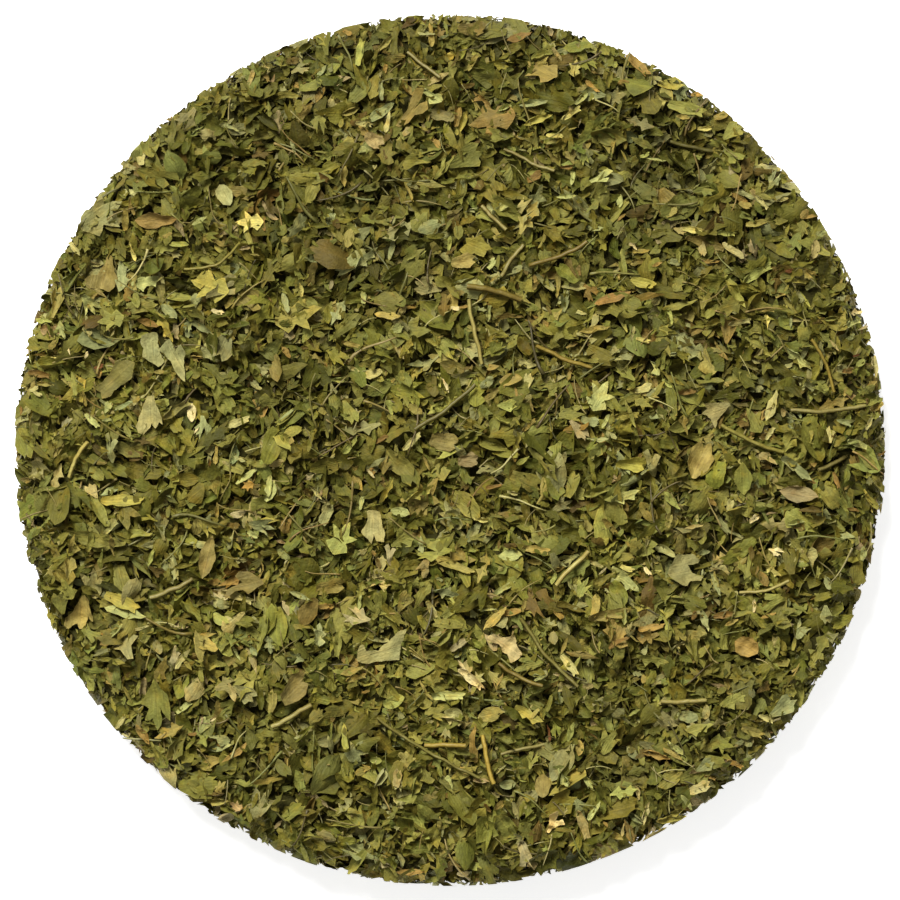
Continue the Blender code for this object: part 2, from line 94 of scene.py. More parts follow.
# %% [markdown]
# ## What lies loose on top
#
# Thirty larger leaf pieces and twenty-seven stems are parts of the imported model, each at its place. Its
# mesh gives the place, the size and the lie, so a row here only says what the mesh can't: which outline
# the piece has, which way its tip points, how far it is folded, rolled, bent and twisted (degrees), and
# its finish.

# %% The loose pieces
LOOSE_LEAVES = {
    "pale_leaf_oblong": ("waisted", 95, (8, 20, 15, 5), "pale"),
    "pale_leaf_forked": ("two_tongued", 119, (14, 30, 25, 10), "pale"),
    "pale_leaf_three_lobed": ("three_lobed", -95, (12, 25, 20, 5), "pale"),
    "olive_leaf_long": ("long_tongue", 40, (12, 30, 25, 15), "olive"),
    "tan_leaf_three_pointed": ("three_cornered", 75, (18, 40, 35, 10), "tan"),
    "brown_leaf_boat": ("boat", 5, (35, 60, 40, 10), "brown"),
    "cream_leaf_oval": ("oval", 120, (8, 60, 40, 0), "pale"),
    "yellow_leaf_lobed": ("star", -20, (10, 25, 25, 5), "yellow"),
    "cream_leaf_scrap_back": ("torn", -30, (20, 50, 50, 20), "cream"),
    "golden_leaf_pointed": ("tripoint", 0, (20, 40, 30, 15), "yellow"),
    "grey_leaf_scrap": ("torn", 10, (20, 50, 30, 20), "tan"),
    "cream_leaf_claw": ("short_claw", -90, (8, 25, 20, 5), "cream"),
    "tan_leaf_crumpled": ("torn", -10, (15, 40, 60, 20), "tan"),
    "cream_leaf_scrap_middle": ("torn", 10, (15, 60, 60, 10), "cream"),
    "tan_leaf_folded": ("fan", 62, (35, 70, 40, 20), "tan"),
    "cream_leaf_curled": ("boat", -15, (30, 110, 70, 25), "cream"),
    "green_leaf_lance": ("boat", -88, (12, 25, 15, 5), "green"),
    "pale_leaf_maple": ("maple", 20, (10, 25, 20, 5), "pale"),
    "pale_leaf_fan": ("torn_fan", 200, (10, 25, 20, 5), "pale"),
    "golden_leaf_torn": ("torn", -5, (20, 50, 40, 20), "yellow"),
    "tan_leaf_claw": ("fingered", -100, (20, 40, 35, 15), "tan"),
    "green_leaf_lobed": ("slit", -90, (12, 25, 20, 5), "green"),
    "pale_leaf_broad": ("ragged_fork", 15, (8, 20, 15, 5), "pale"),
    "cream_leaf_torn": ("ragged", -35, (16, 50, 45, 15), "cream"),
    "cream_leaf_forked": ("forked", 60, (25, 60, 50, 20), "cream"),
    "tan_leaf_oval": ("oval", 90, (10, 60, 40, 5), "tan"),
    "brown_leaf_curled": ("oval", -30, (25, 110, 60, 20), "brown"),
    "tan_leaf_boat": ("boat", 75, (30, 70, 40, 10), "tan"),
    "tan_leaf_forked": ("umbrella", 10, (20, 45, 35, 10), "tan"),
    "tan_leaf_torn": ("torn", 40, (20, 60, 50, 25), "tan"),
}
# Pieces whose shade differs from the other pieces of their finish.
OTHER_SHADES = {
    "pale_leaf_three_lobed": "ivory", "cream_leaf_claw": "ivory", "pale_leaf_fan": "ivory",
    "pale_leaf_maple": "grey", "pale_leaf_broad": "grey",
}
# How light each piece is against its finish.
TONES = {
    "pale_leaf_oblong": 0.95, "pale_leaf_forked": 0.97, "pale_leaf_three_lobed": 1.08,
    "tan_leaf_three_pointed": 0.92, "brown_leaf_boat": 0.95, "cream_leaf_oval": 1.13,
    "cream_leaf_scrap_back": 0.93, "golden_leaf_pointed": 0.85, "grey_leaf_scrap": 1.20,
    "cream_leaf_claw": 1.13, "tan_leaf_crumpled": 0.90, "cream_leaf_scrap_middle": 0.50,
    "tan_leaf_folded": 1.24, "cream_leaf_curled": 0.55, "green_leaf_lance": 1.10, "pale_leaf_maple": 0.88,
    "pale_leaf_fan": 0.75, "golden_leaf_torn": 1.60, "tan_leaf_claw": 1.50, "green_leaf_lobed": 0.92,
    "pale_leaf_broad": 1.12, "cream_leaf_torn": 0.98, "cream_leaf_forked": 2.10, "tan_leaf_oval": 1.09,
    "brown_leaf_curled": 1.25, "tan_leaf_boat": 0.90, "tan_leaf_forked": 0.72, "tan_leaf_torn": 0.80,
    "stem_back_pale": 0.65, "stem_back_grey": 0.72, "stem_back_short": 0.87, "stem_golden_bow": 0.65,
    "stem_golden_thick": 0.62, "stem_straw_upright": 0.76, "stem_pale_upright": 1.05,
    "stem_olive_long": 0.75, "stem_bright": 1.20, "stem_left_cream": 1.45, "stem_left_yellow": 0.72,
    "stem_right_orange": 1.10, "stem_right_long": 0.70, "stem_right_pale": 0.55, "stem_right_green": 1.40,
    "stem_left_thick": 0.88, "stem_front_flat": 1.22, "stem_front_upright": 1.55,
    "stem_front_straw": 0.70, "stem_front_brown": 0.70, "stem_yellow_flat": 0.90,
    "stem_left_tendril": 1.40, "stem_right_back": 0.55,
}
# Stems: finish, and thickness at the left or far end and at the right or near end against the middle.
LOOSE_STEMS = {
    "stem_back_pale": ("straw", 1.0, 0.8), "stem_back_grey": ("straw", 0.9, 1.0),
    "stem_back_short": ("straw", 1.1, 0.9), "stem_golden_bow": ("gold", 0.7, 1.2),
    "stem_golden_thick": ("gold", 1.2, 0.8), "stem_straw_upright": ("straw", 1.0, 0.8),
    "stem_pale_upright": ("straw", 0.7, 1.1), "stem_olive_long": ("green", 0.7, 1.1),
    "stem_brown": ("gold", 0.8, 1.1), "stem_bright": ("straw", 1.2, 0.7),
    "stem_left_cream": ("straw", 0.8, 1.2), "stem_left_yellow": ("straw", 0.8, 1.1),
    "stem_right_orange": ("gold", 1.2, 0.7), "stem_right_long": ("straw", 0.8, 1.2),
    "stem_right_pale": ("straw", 0.8, 1.3), "stem_right_green": ("green", 1.2, 0.8),
    "stem_right_thin": ("straw", 0.9, 0.7), "stem_left_thick": ("straw", 1.2, 0.8),
    "stem_front_flat": ("gold", 0.7, 1.2), "stem_front_upright": ("gold", 0.9, 1.6),
    "stem_front_straw": ("straw", 0.9, 0.9), "stem_front_long": ("green", 0.8, 1.2),
    "stem_front_green": ("green", 0.6, 1.8), "stem_front_brown": ("gold", 0.7, 1.0),
    "stem_yellow_flat": ("straw", 0.9, 1.2), "stem_left_tendril": ("green", 0.9, 0.8),
    "stem_right_back": ("green", 1.0, 0.9),
}
print(len(LOOSE_LEAVES), "leaf pieces and", len(LOOSE_STEMS), "stems lie loose")

# %% [markdown]
# ## A height for every spot
#
# Thousands of flakes can't be placed by hand, and a rigid body simulation of them would take hours. A
# cheaper way gives the same look: keep a grid with the height of whatever lies at each spot, and set
# each flake down on that grid. The grid needs a start, the heap's packed inside, and a level to fill up
# to. The level is flat on top and falls off at the rim, dips at a few hollows, and passes just under
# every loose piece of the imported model, so that each of them ends up lying on flakes.

# %% Helpers for the height grid
CELL = 0.25 * MM
GRID_HALF = 73.0 * MM
GRID_SIDE = int(2 * GRID_HALF / CELL)
grid_line = (np.arange(GRID_SIDE) + 0.5) * CELL - GRID_HALF
grid_x, grid_y = np.meshgrid(grid_line, grid_line)


def blurred(field, reach):
    """The field smoothed by a round Gaussian, which a Fourier transform does in one go."""
    waves = np.fft.fftfreq(GRID_SIDE, CELL) * 2 * math.pi
    falloff = np.exp(-0.5 * (waves * reach) ** 2)
    return np.fft.ifft2(np.fft.fft2(field) * falloff[:, None] * falloff[None, :]).real


def node_points(name):
    """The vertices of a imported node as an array."""
    mesh = frame["nodes"][name].data
    points = np.empty(len(mesh.vertices) * 3)
    mesh.vertices.foreach_get("co", points)
    return points.reshape(-1, 3)


def underside(name):
    """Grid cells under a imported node, with the height of its underside there."""
    mesh = frame["nodes"][name].data
    tree = BVHTree.FromPolygons([v.co for v in mesh.vertices], [p.vertices for p in mesh.polygons])
    low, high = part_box(name)
    for column in range(int((low.x + GRID_HALF) / CELL), int((high.x + GRID_HALF) / CELL) + 1):
        for row in range(int((low.y + GRID_HALF) / CELL), int((high.y + GRID_HALF) / CELL) + 1):
            start = Vector((grid_line[column], grid_line[row], -1.0))
            hit = tree.ray_cast(start, Vector((0, 0, 1)))[0]
            if hit is not None:
                yield row, column, hit.z


print("height grid of", GRID_SIDE, "by", GRID_SIDE, "cells")

# %% [markdown]
# The rim follows one formula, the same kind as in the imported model: a power of the distance from the
# middle. A high power keeps the top flat and makes the shoulder short.

# %% The level to fill up to
TOP_LEVEL = 11.2 * MM
RIM_POWER = 60.0
SHOULDER_POWER = 0.55
LAYER = 2.3 * MM
UNDER_LOOSE = 0.12 * MM
LOOSE_REACH = 2.6 * MM
SWELL = 0.35 * MM
SWELL_REACH = 4.5 * MM
SWELL_SEED = 5

# Hollows where the flakes lie lower, and darker by the painted shade of the patches further on: x, y, depth
# and reach in millimetres.
HOLLOWS = [
    (32.3, 49.8, 1.3, 5.5), (33.9, 38.5, 1.1, 5.0), (-11.2, 27.3, 1.4, 5.0), (-12.8, 40.1, 1.1, 5.0),
    (-27.3, 40.1, 1.0, 5.0), (-29.7, 51.4, 1.0, 4.5), (-29.7, 12.0, 1.3, 5.0), (47.5, 34.5, 1.2, 5.0),
    (46.7, 10.4, 1.0, 4.5), (4.9, -4.9, 1.2, 4.5), (-20.0, -9.7, 1.0, 4.5), (-13.6, -23.4, 1.1, 4.5),
    (-0.7, -25.0, 1.0, 4.0), (-53.0, -19.4, 1.2, 4.5), (-24.1, -53.2, 1.2, 5.0), (-17.6, -41.9, 1.0, 4.5),
    (44.3, -16.2, 1.1, 4.5), (61.2, -6.5, 0.9, 4.0), (46.7, -38.7, 1.0, 4.5), (28.2, -50.0, 1.1, 5.0),
    (11.3, 20.0, 0.9, 4.0), (14.6, 9.6, 0.9, 4.0), (48.0, -43.4, 1.1, 3.5),
]


def rim_share(radius):
    """How much of the heap's height is left at a distance from the middle."""
    share = np.clip(radius / HEAP_RADIUS, 0.0, 1.0)
    return (1.0 - share**RIM_POWER) ** SHOULDER_POWER


distance = np.hypot(grid_x, grid_y)
swell = blurred(np.random.default_rng(SWELL_SEED).standard_normal((GRID_SIDE, GRID_SIDE)), SWELL_REACH)
fill_level = TOP_LEVEL + swell / swell.std() * SWELL
for hollow_x, hollow_y, depth, reach in HOLLOWS:
    away = np.hypot(grid_x - hollow_x * MM, grid_y - hollow_y * MM) / (reach * MM)
    fill_level -= depth * MM * np.exp(-away * away)
fill_level *= rim_share(distance)

loose_floor = np.full((GRID_SIDE, GRID_SIDE), np.inf)
for name in [*LOOSE_LEAVES, *LOOSE_STEMS]:
    for row, column, height in underside(name):
        loose_floor[row, column] = min(loose_floor[row, column], height)
under_loose = np.isfinite(loose_floor)
lies_here = blurred(under_loose.astype(float), LOOSE_REACH)
loose_level = blurred(np.where(under_loose, loose_floor - UNDER_LOOSE, 0.0), LOOSE_REACH)
loose_level /= np.maximum(lies_here, 1e-6)
closeness = np.clip(lies_here * 6.0, 0.0, 1.0)
fill_level += (np.minimum(loose_level, TOP_LEVEL + 2 * MM) - fill_level) * closeness
print("fill level", round(fill_level.max() / MM, 1), "mm at most; loose pieces cover",
      int(under_loose.sum()), "cells")

# %% [markdown]
# ## The family of flakes
#
# Every flake starts as a flat outline, drawn with few points: a claw, a fan, a fork and so on, the same
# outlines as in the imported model. Each edge is then split and pushed out or in a little, which gives the
# torn look. A constrained Delaunay triangulation fills the outline and puts points inside, so the sheet
# can bend. Drying does the rest: a leaf folds along its midrib, rolls up across it, bends along it and
# twists. Real bending keeps the length, so roll and bend wrap the sheet round a circle instead of
# lifting it.

# %% Flat outlines
OUTLINES = {
    "claw": [(-0.10, 0.0), (0.10, 0.0), (0.32, 0.38), (0.50, 0.80), (0.18, 0.58), (0.06, 1.0),
             (-0.14, 0.60), (-0.50, 0.90), (-0.34, 0.36)],
    "fan": [(-0.07, 0.0), (0.09, 0.0), (0.50, 0.72), (0.24, 0.80), (0.12, 1.0), (-0.06, 0.82),
            (-0.24, 0.96), (-0.50, 0.66)],
    "forked": [(-0.10, 0.0), (0.08, 0.0), (0.20, 0.40), (0.50, 0.72), (0.22, 0.78), (0.0, 0.52),
               (-0.14, 1.0), (-0.46, 0.84), (-0.20, 0.38)],
    "five_lobed": [(-0.06, 0.0), (0.08, 0.0), (0.44, 0.20), (0.24, 0.40), (0.50, 0.66), (0.17, 0.66),
                   (0.02, 1.0), (-0.17, 0.68), (-0.50, 0.70), (-0.26, 0.42), (-0.42, 0.24)],
    "oval": [(0.0, 0.0), (0.34, 0.18), (0.50, 0.50), (0.36, 0.80), (0.04, 1.0), (-0.34, 0.84),
             (-0.50, 0.48), (-0.32, 0.16)],
    "boat": [(0.0, 0.0), (0.36, 0.22), (0.50, 0.50), (0.28, 0.78), (0.0, 1.0), (-0.34, 0.74),
             (-0.50, 0.44), (-0.30, 0.18)],
    "torn": [(-0.30, 0.06), (0.18, 0.0), (0.38, 0.26), (0.50, 0.66), (0.26, 0.90), (0.06, 0.80),
             (-0.16, 1.0), (-0.50, 0.72), (-0.36, 0.42)],
    "tripoint": [(-0.12, 0.06), (0.16, 0.0), (0.50, 0.12), (0.26, 0.40), (0.10, 1.0), (-0.10, 0.56),
                 (-0.50, 0.34)],
    "sliver": [(-0.05, 0.0), (0.10, 0.04), (0.45, 0.40), (0.50, 0.70), (0.10, 1.0), (-0.25, 0.76),
               (-0.50, 0.38)],
    "feather": [(-0.05, 0.0), (0.07, 0.0), (0.14, 0.20), (0.46, 0.30), (0.30, 0.42), (0.16, 0.44),
                (0.22, 0.58), (0.50, 0.68), (0.26, 0.76), (0.12, 0.80), (0.02, 1.0), (-0.12, 0.82),
                (-0.44, 0.74), (-0.26, 0.62), (-0.14, 0.56), (-0.18, 0.42), (-0.50, 0.34), (-0.24, 0.22)],
    "wing": [(-0.30, 0.0), (-0.05, 0.02), (0.10, 0.22), (0.50, 0.34), (0.14, 0.44), (0.22, 0.60),
             (0.46, 0.74), (0.12, 0.78), (-0.06, 1.0), (-0.26, 0.86), (-0.36, 0.60), (-0.50, 0.34)],
    "strip": [(-0.32, 0.03), (0.10, 0.0), (0.34, 0.10), (0.50, 0.40), (0.36, 0.72), (0.44, 0.92),
              (0.10, 0.86), (-0.12, 1.0), (-0.30, 0.84), (-0.50, 0.46)],
    "crescent": [(0.10, 0.0), (0.30, 0.16), (0.20, 0.44), (0.34, 0.72), (0.50, 1.0), (0.02, 0.84),
                 (-0.34, 0.58), (-0.50, 0.30), (-0.20, 0.08)],
    "split": [(-0.06, 0.0), (0.08, 0.0), (0.20, 0.30), (0.50, 0.44), (0.34, 0.56), (0.42, 0.74),
              (0.22, 0.70), (0.20, 0.90), (0.06, 0.62), (-0.04, 0.42), (-0.10, 0.66), (-0.16, 1.0),
              (-0.30, 0.76), (-0.46, 0.82), (-0.38, 0.60), (-0.50, 0.46), (-0.22, 0.30)],
}
# Outlines that only one larger piece has.
OUTLINES |= {
    "waisted": [(0.20, 0.0), (0.50, 0.08), (0.30, 0.40), (0.22, 0.68), (0.26, 0.94), (-0.04, 1.0),
                (-0.38, 0.96), (-0.50, 0.78), (-0.38, 0.55), (-0.46, 0.30), (-0.12, 0.12)],
    "two_tongued": [(-0.17, 0.0), (0.12, 0.32), (0.47, 0.53), (0.50, 0.77), (0.08, 0.65), (0.15, 0.76),
                    (0.17, 1.0), (-0.50, 0.91), (-0.33, 0.72), (-0.22, 0.55), (-0.26, 0.19)],
    "three_lobed": [(-0.06, 0.0), (0.17, 0.03), (0.30, 0.27), (0.39, 0.49), (0.50, 0.81), (0.45, 0.95),
                    (0.27, 1.0), (0.17, 0.84), (0.0, 0.65), (-0.06, 0.76), (-0.20, 0.80), (-0.29, 0.65),
                    (-0.50, 0.70), (-0.35, 0.38), (-0.19, 0.14)],
    "three_cornered": [(0.06, 0.06), (0.32, 0.01), (0.45, 0.19), (0.50, 0.42), (0.32, 0.61), (0.13, 0.95),
                       (-0.02, 1.0), (-0.06, 0.72), (-0.20, 0.44), (-0.47, 0.31), (-0.50, 0.19),
                       (-0.30, 0.0)],
    "long_tongue": [(0.32, 0.0), (0.46, 0.14), (0.39, 0.29), (0.42, 0.46), (0.50, 0.74), (0.27, 0.87),
                    (0.11, 1.0), (-0.23, 0.89), (-0.50, 0.73), (-0.43, 0.55), (-0.33, 0.42),
                    (-0.23, 0.23), (-0.27, 0.03), (0.08, 0.05)],
    "slit": [(-0.03, 0.0), (0.07, 0.11), (0.24, 0.26), (0.50, 0.44), (0.27, 0.56), (0.43, 0.81),
             (0.17, 0.78), (0.04, 1.0), (-0.11, 0.78), (-0.14, 0.52), (-0.29, 0.74), (-0.42, 0.80),
             (-0.50, 0.56), (-0.45, 0.30), (-0.22, 0.19)],
    "fingered": [(-0.35, 0.11), (-0.16, 0.0), (0.03, 0.11), (0.12, 0.28), (0.25, 0.49), (0.44, 0.70),
                 (0.50, 0.96), (0.34, 0.94), (0.12, 0.77), (0.03, 0.91), (-0.15, 0.89), (-0.18, 0.55),
                 (-0.32, 0.68), (-0.50, 0.66), (-0.45, 0.49), (-0.29, 0.32)],
    "umbrella": [(0.40, 0.0), (0.22, 0.28), (0.18, 0.49), (0.50, 0.59), (0.27, 0.80), (0.17, 1.0),
                 (-0.08, 0.92), (-0.40, 0.71), (-0.50, 0.50), (-0.37, 0.35), (-0.13, 0.50), (-0.01, 0.27),
                 (0.12, 0.05)],
    "ragged_fork": [(0.12, 0.0), (0.34, 0.18), (0.39, 0.50), (0.50, 0.74), (-0.04, 0.85), (-0.30, 0.96),
                    (-0.50, 1.0), (-0.50, 0.86), (-0.25, 0.68), (-0.01, 0.43), (-0.13, 0.23),
                    (-0.38, 0.22), (-0.37, 0.10), (-0.12, 0.05)],
    "short_claw": [(-0.26, 0.05), (0.26, 0.0), (0.26, 0.24), (0.35, 0.48), (0.50, 0.66), (0.26, 0.85),
                   (0.08, 1.0), (0.02, 0.71), (-0.12, 0.92), (-0.47, 0.92), (-0.50, 0.66), (-0.37, 0.48),
                   (-0.37, 0.24)],
    "ragged": [(0.13, 0.0), (0.17, 0.18), (0.10, 0.32), (0.25, 0.50), (0.26, 0.67), (0.50, 0.87),
               (0.25, 0.92), (-0.08, 1.0), (-0.26, 0.72), (-0.50, 0.53), (-0.35, 0.44), (-0.12, 0.32),
               (-0.11, 0.16)],
    "maple": [(-0.05, 0.0), (0.33, 0.15), (0.50, 0.34), (0.37, 0.53), (0.48, 0.74), (0.34, 0.85),
              (0.09, 0.63), (-0.14, 0.61), (-0.11, 0.89), (-0.25, 1.0), (-0.45, 0.83), (-0.50, 0.57),
              (-0.50, 0.37), (-0.30, 0.19)],
    "torn_fan": [(0.11, 0.0), (0.36, 0.46), (0.50, 0.78), (0.27, 0.75), (0.17, 1.0), (0.04, 0.80),
                 (-0.16, 0.79), (-0.50, 0.74), (-0.28, 0.57), (-0.09, 0.27)],
    "star": [(0.35, 0.0), (0.47, 0.11), (0.50, 0.34), (0.32, 0.51), (0.33, 0.81), (0.05, 0.81),
             (-0.08, 1.0), (-0.28, 0.69), (-0.50, 0.50), (-0.21, 0.35), (-0.16, 0.07), (0.06, 0.19)],
}
TEAR = 0.03


def torn_outline(kind, width, rounds, push, rng):
    """An outline one unit long about the origin, its edges split so many times and pushed about.

    A negative number of rounds leaves out every other corner instead.
    """
    corners = OUTLINES[kind]
    if rounds < 0:
        corners = corners[::2]
    points = [
        Vector((x * width + rng.uniform(-TEAR, TEAR) * width, y - 0.5 + rng.uniform(-TEAR, TEAR)))
        for x, y in corners
    ]
    for _ in range(rounds):
        finer = []
        for start, end in zip(points, points[1:] + points[:1]):
            edge = end - start
            outward = Vector((edge.y, -edge.x)) * rng.uniform(*push)
            finer += [start, (start + end) / 2 + outward]
        points = finer
    return points


def filled_sheet(outline, spacing, rng):
    """Triangles that fill an outline, with loose rows of points inside it."""
    edge_points = np.array([tuple(p) for p in outline])
    low, high = edge_points.min(axis=0), edge_points.max(axis=0)
    inner = []
    row_offset = 0.0
    for y in np.arange(low[1] + spacing / 2, high[1], spacing * 0.87):
        row_offset = spacing / 2 - row_offset
        for x in np.arange(low[0] + row_offset, high[0], spacing):
            spot = Vector((x + rng.uniform(-0.2, 0.2) * spacing, y + rng.uniform(-0.2, 0.2) * spacing))
            middles = (edge_points + np.roll(edge_points, -1, axis=0)) / 2
            near = np.hypot(*(np.vstack([edge_points, middles]) - tuple(spot)).T).min()
            if near > spacing * 0.45:
                inner.append(spot)
    loop = [(i, (i + 1) % len(outline)) for i in range(len(outline))]
    points, _, faces, _, _, _ = delaunay_2d_cdt([*outline, *inner], loop, [], 1, 1e-6)
    used = sorted({corner for face in faces for corner in face})
    order = {corner: i for i, corner in enumerate(used)}
    flat = np.array([tuple(points[corner]) for corner in used])
    triangles = np.array([[order[corner] for corner in face] for face in faces])
    return flat, triangles


print("outlines:", ", ".join(OUTLINES))

# %% Curling a flat sheet


def rolled_up(length, height, degrees):
    """Wraps a coordinate round a circle that turns by so many degrees over one unit of length."""
    rate = math.radians(degrees)
    if abs(rate) < 1e-3:
        return length, height
    radius = 1 / rate - height
    return np.sin(length * rate) * radius, 1 / rate - np.cos(length * rate) * radius


def curled(flat, fold, roll, bend, twist, ripple, creases, rng):
    """The sheet as it dried: rippled, creased, folded on its midrib, rolled, bent and twisted."""
    x, y = flat[:, 0].copy(), flat[:, 1].copy()
    z = np.zeros(len(flat))
    for _ in range(3):
        angle, phase, waves = rng.uniform(0, math.pi), rng.uniform(0, math.tau), rng.uniform(8, 15)
        z += ripple / 3 * np.sin(waves * (x * math.cos(angle) + y * math.sin(angle)) + phase)
        angle, phase, folds = rng.uniform(0, math.pi), rng.random(), rng.uniform(2.0, 4.5)
        across = folds * (x * math.cos(angle) + y * math.sin(angle)) + phase
        z += creases * np.abs(across % 1.0 - 0.5)
    z += np.abs(x) * math.sin(math.radians(fold))
    x = x * math.cos(math.radians(fold))
    x, z = rolled_up(x, z, roll)
    y, z = rolled_up(y, z, bend)
    turn = np.radians(twist) * y
    x, z = x * np.cos(turn) - z * np.sin(turn), x * np.sin(turn) + z * np.cos(turn)
    return np.column_stack([x, y, z])


strip_end = rolled_up(np.array([0.5]), np.array([0.0]), 90)
print("curling bends a one-unit strip to", np.round(strip_end, 2).ravel())

# %% [markdown]
# A sheet has no thickness, and an open sheet makes a poor solid. Each flake gets an upper and a lower
# skin that share their rim, like a very thin pillow. That is the cheapest closed shape there is: no
# faces go into the edge. The rim is marked sharp, so the shading stays flat across each skin. Faces of
# the lower skin carry the number 1 in the attribute "underside", since a chervil leaf is paler and
# greyer there.

# %% From sheet to closed flake


def closed_flake(name, flat, solid, triangles, thickness):
    """Mesh with two skins that share their rim, a UV map in leaf coordinates, the underside marked, and the
    rim marked for a painted highlight.
    """
    mesh = bpy.data.meshes.new(name)
    shape = bmesh.new()
    edge_uses = {}
    for face in triangles:
        for a, b in ((0, 1), (1, 2), (2, 0)):
            key = tuple(sorted((face[a], face[b])))
            edge_uses[key] = edge_uses.get(key, 0) + 1
    rim = {corner for key, uses in edge_uses.items() if uses == 1 for corner in key}
    sides = solid[triangles]
    face_normals = np.cross(sides[:, 1] - sides[:, 0], sides[:, 2] - sides[:, 0])
    normals = np.zeros_like(solid)
    for corner in range(3):
        np.add.at(normals, triangles[:, corner], face_normals)
    normals /= np.maximum(np.linalg.norm(normals, axis=1, keepdims=True), 1e-12)
    uv = shape.loops.layers.uv.new("leaf")
    rim_highlight_layer = shape.verts.layers.float.new("edge")
    under = shape.faces.layers.float.new("underside")
    upper = [shape.verts.new(solid[i]) for i in range(len(solid))]
    lower = [
        upper[i] if i in rim else shape.verts.new(solid[i] - normals[i] * thickness)
        for i in range(len(solid))
    ]
    # Points on the rim carry 1 in "edge", where the leaf finish paints a highlight.
    for i in rim:
        upper[i][rim_highlight_layer] = 1.0
    for face in triangles:
        skins = [([upper[i] for i in face], list(face), 0.0)]
        if all(i in rim for i in face):
            # All three corners lie on the rim, so a lowered middle point keeps the two skins apart.
            middle = shape.verts.new(solid[face].mean(axis=0) - normals[face].mean(axis=0) * thickness)
            for a, b in ((1, 0), (2, 1), (0, 2)):
                skins.append(([lower[face[a]], lower[face[b]], middle], [face[a], face[b], face[a]], 1.0))
        else:
            skins.append(([lower[i] for i in face[::-1]], list(face[::-1]), 1.0))
        for corners, places, is_under in skins:
            made = shape.faces.new(corners)
            made.smooth = True
            made[under] = is_under
            for loop, i in zip(made.loops, places):
                loop[uv].uv = flat[i] + 0.5
    for edge in shape.edges:
        edge.smooth = len({face[under] for face in edge.link_faces}) == 1
    shape.to_mesh(mesh)
    shape.free()
    return mesh


def new_piece(name, mesh):
    piece = bpy.data.objects.new(name, mesh)
    bpy.context.scene.collection.objects.link(piece)
    return piece


def give_tone(piece, name):
    """Marks every point of a loose piece with its own lightness, which its finish reads."""
    tone = piece.data.attributes.new("tone", "FLOAT", "POINT")
    tone.data.foreach_set("value", [TONES.get(name, 1.0)] * len(piece.data.vertices))


# %% [markdown]
# Fourteen outlines, each dried in five ways, give seventy kinds. That is enough for the eye not to see
# repeats once size, turn, lean and colour vary. Each kind comes twice: a fine one for what lies on top
# and a coarse one for what is half buried. Points spread over each sheet are kept too, because a flake
# settles on its own points.

# %% The flake kinds
KIND_SEED = 3
FLAKE_THICKNESS = 0.035
FINE_RIPPLE = 0.050
FINE_CREASES = 0.085
FINE_PUSH = (-0.08, 0.15)
MANY_POINTS = 15
# How often each edge is split, and how far apart the points inside lie.
FINE_DETAIL = (1, 0.21)
COARSE_DETAIL = (0, 0.42)
KIND_SHAPES = [
    ("claw", 0.78), ("fan", 0.80), ("forked", 0.56), ("five_lobed", 0.84), ("boat", 0.34), ("torn", 0.52),
    ("tripoint", 0.58), ("sliver", 0.18), ("feather", 0.52), ("wing", 0.42), ("strip", 0.28),
    ("crescent", 0.24), ("split", 0.68), ("oval", 0.60),
]
# How a kind has dried: fold, roll, bend and twist in degrees over one length.
CURLS = {
    "flat": (8, 25, 20, 10),
    "cupped": (14, 60, 45, 20),
    "folded": (44, 50, 40, 25),
    "bent": (16, 30, 100, 30),
    "flipped": (-12, -40, -30, 15),
}


def spread_points(flat_or_solid, triangles):
    """Corners, edge middles and centres of a sheet's triangles: the points that it settles on."""
    corners = flat_or_solid[triangles]
    middles = (corners + np.roll(corners, 1, axis=1)) / 2
    return np.vstack([flat_or_solid, middles.reshape(-1, corners.shape[-1]), corners.mean(axis=1)])


TWIG_KINDS = 10
TWIG_SEED = KIND_SEED + 100
TWIG_SIDES = 5
TWIG_RINGS = 8
# Bend in degrees, and thickness as a share of the length, at the least and the most.
TWIG_BEND = (4, 45)
TWIG_THICKNESS = (0.026, 0.060)


def twig_line(rng):
    """Centre line of a leaf stalk one unit long, bowed and a little kinked."""
    steps = np.linspace(-0.5, 0.5, TWIG_RINGS)
    y, x = rolled_up(steps, np.zeros(TWIG_RINGS), rng.uniform(*TWIG_BEND))
    kink = rng.uniform(-0.08, 0.08) * np.abs(steps - rng.uniform(-0.3, 0.3))
    return np.column_stack([x + kink, y, 0.04 * np.sin(steps * rng.uniform(3, 7))])


def twig_mesh(name, line, thickness):
    """A closed tube round the line that thins towards its tip, with a knob where the leaf sat."""
    mesh = bpy.data.meshes.new(name)
    shape = bmesh.new()
    rings = []
    for i, centre in enumerate(line):
        along = i / (len(line) - 1)
        radius = thickness / 2 * (1.25 - 0.6 * along + 0.35 * math.exp(-((along - 0.06) / 0.07) ** 2))
        ring = []
        for side in range(TWIG_SIDES):
            turn = math.tau * side / TWIG_SIDES
            ring.append(shape.verts.new(centre + radius * np.array([math.cos(turn), 0, math.sin(turn)])))
        rings.append(ring)
    for lower, upper in zip(rings, rings[1:]):
        for side in range(TWIG_SIDES):
            after = (side + 1) % TWIG_SIDES
            shape.faces.new([lower[side], lower[after], upper[after], upper[side]]).smooth = True
    shape.faces.new(rings[0][::-1])
    shape.faces.new(rings[-1])
    bmesh.ops.recalc_face_normals(shape, faces=shape.faces)
    shape.to_mesh(mesh)
    shape.free()
    return mesh


def make_twigs():
    """Meshes of the leaf stalk kinds in a collection, and the points each settles on."""
    twigs = bpy.data.collections.new("twigs")
    points = []
    for number in range(TWIG_KINDS):
        rng = random.Random(TWIG_SEED + number)
        line = twig_line(rng)
        thickness = rng.uniform(*TWIG_THICKNESS)
        twigs.objects.link(bpy.data.objects.new(f"twig_{number:02d}", twig_mesh("twig", line, thickness)))
        middles = (line[1:] + line[:-1]) / 2
        line = np.vstack([line, middles])
        points.append(np.vstack([line - (0, 0, thickness / 2), line + (0, 0, thickness / 2)]))
    return twigs, points


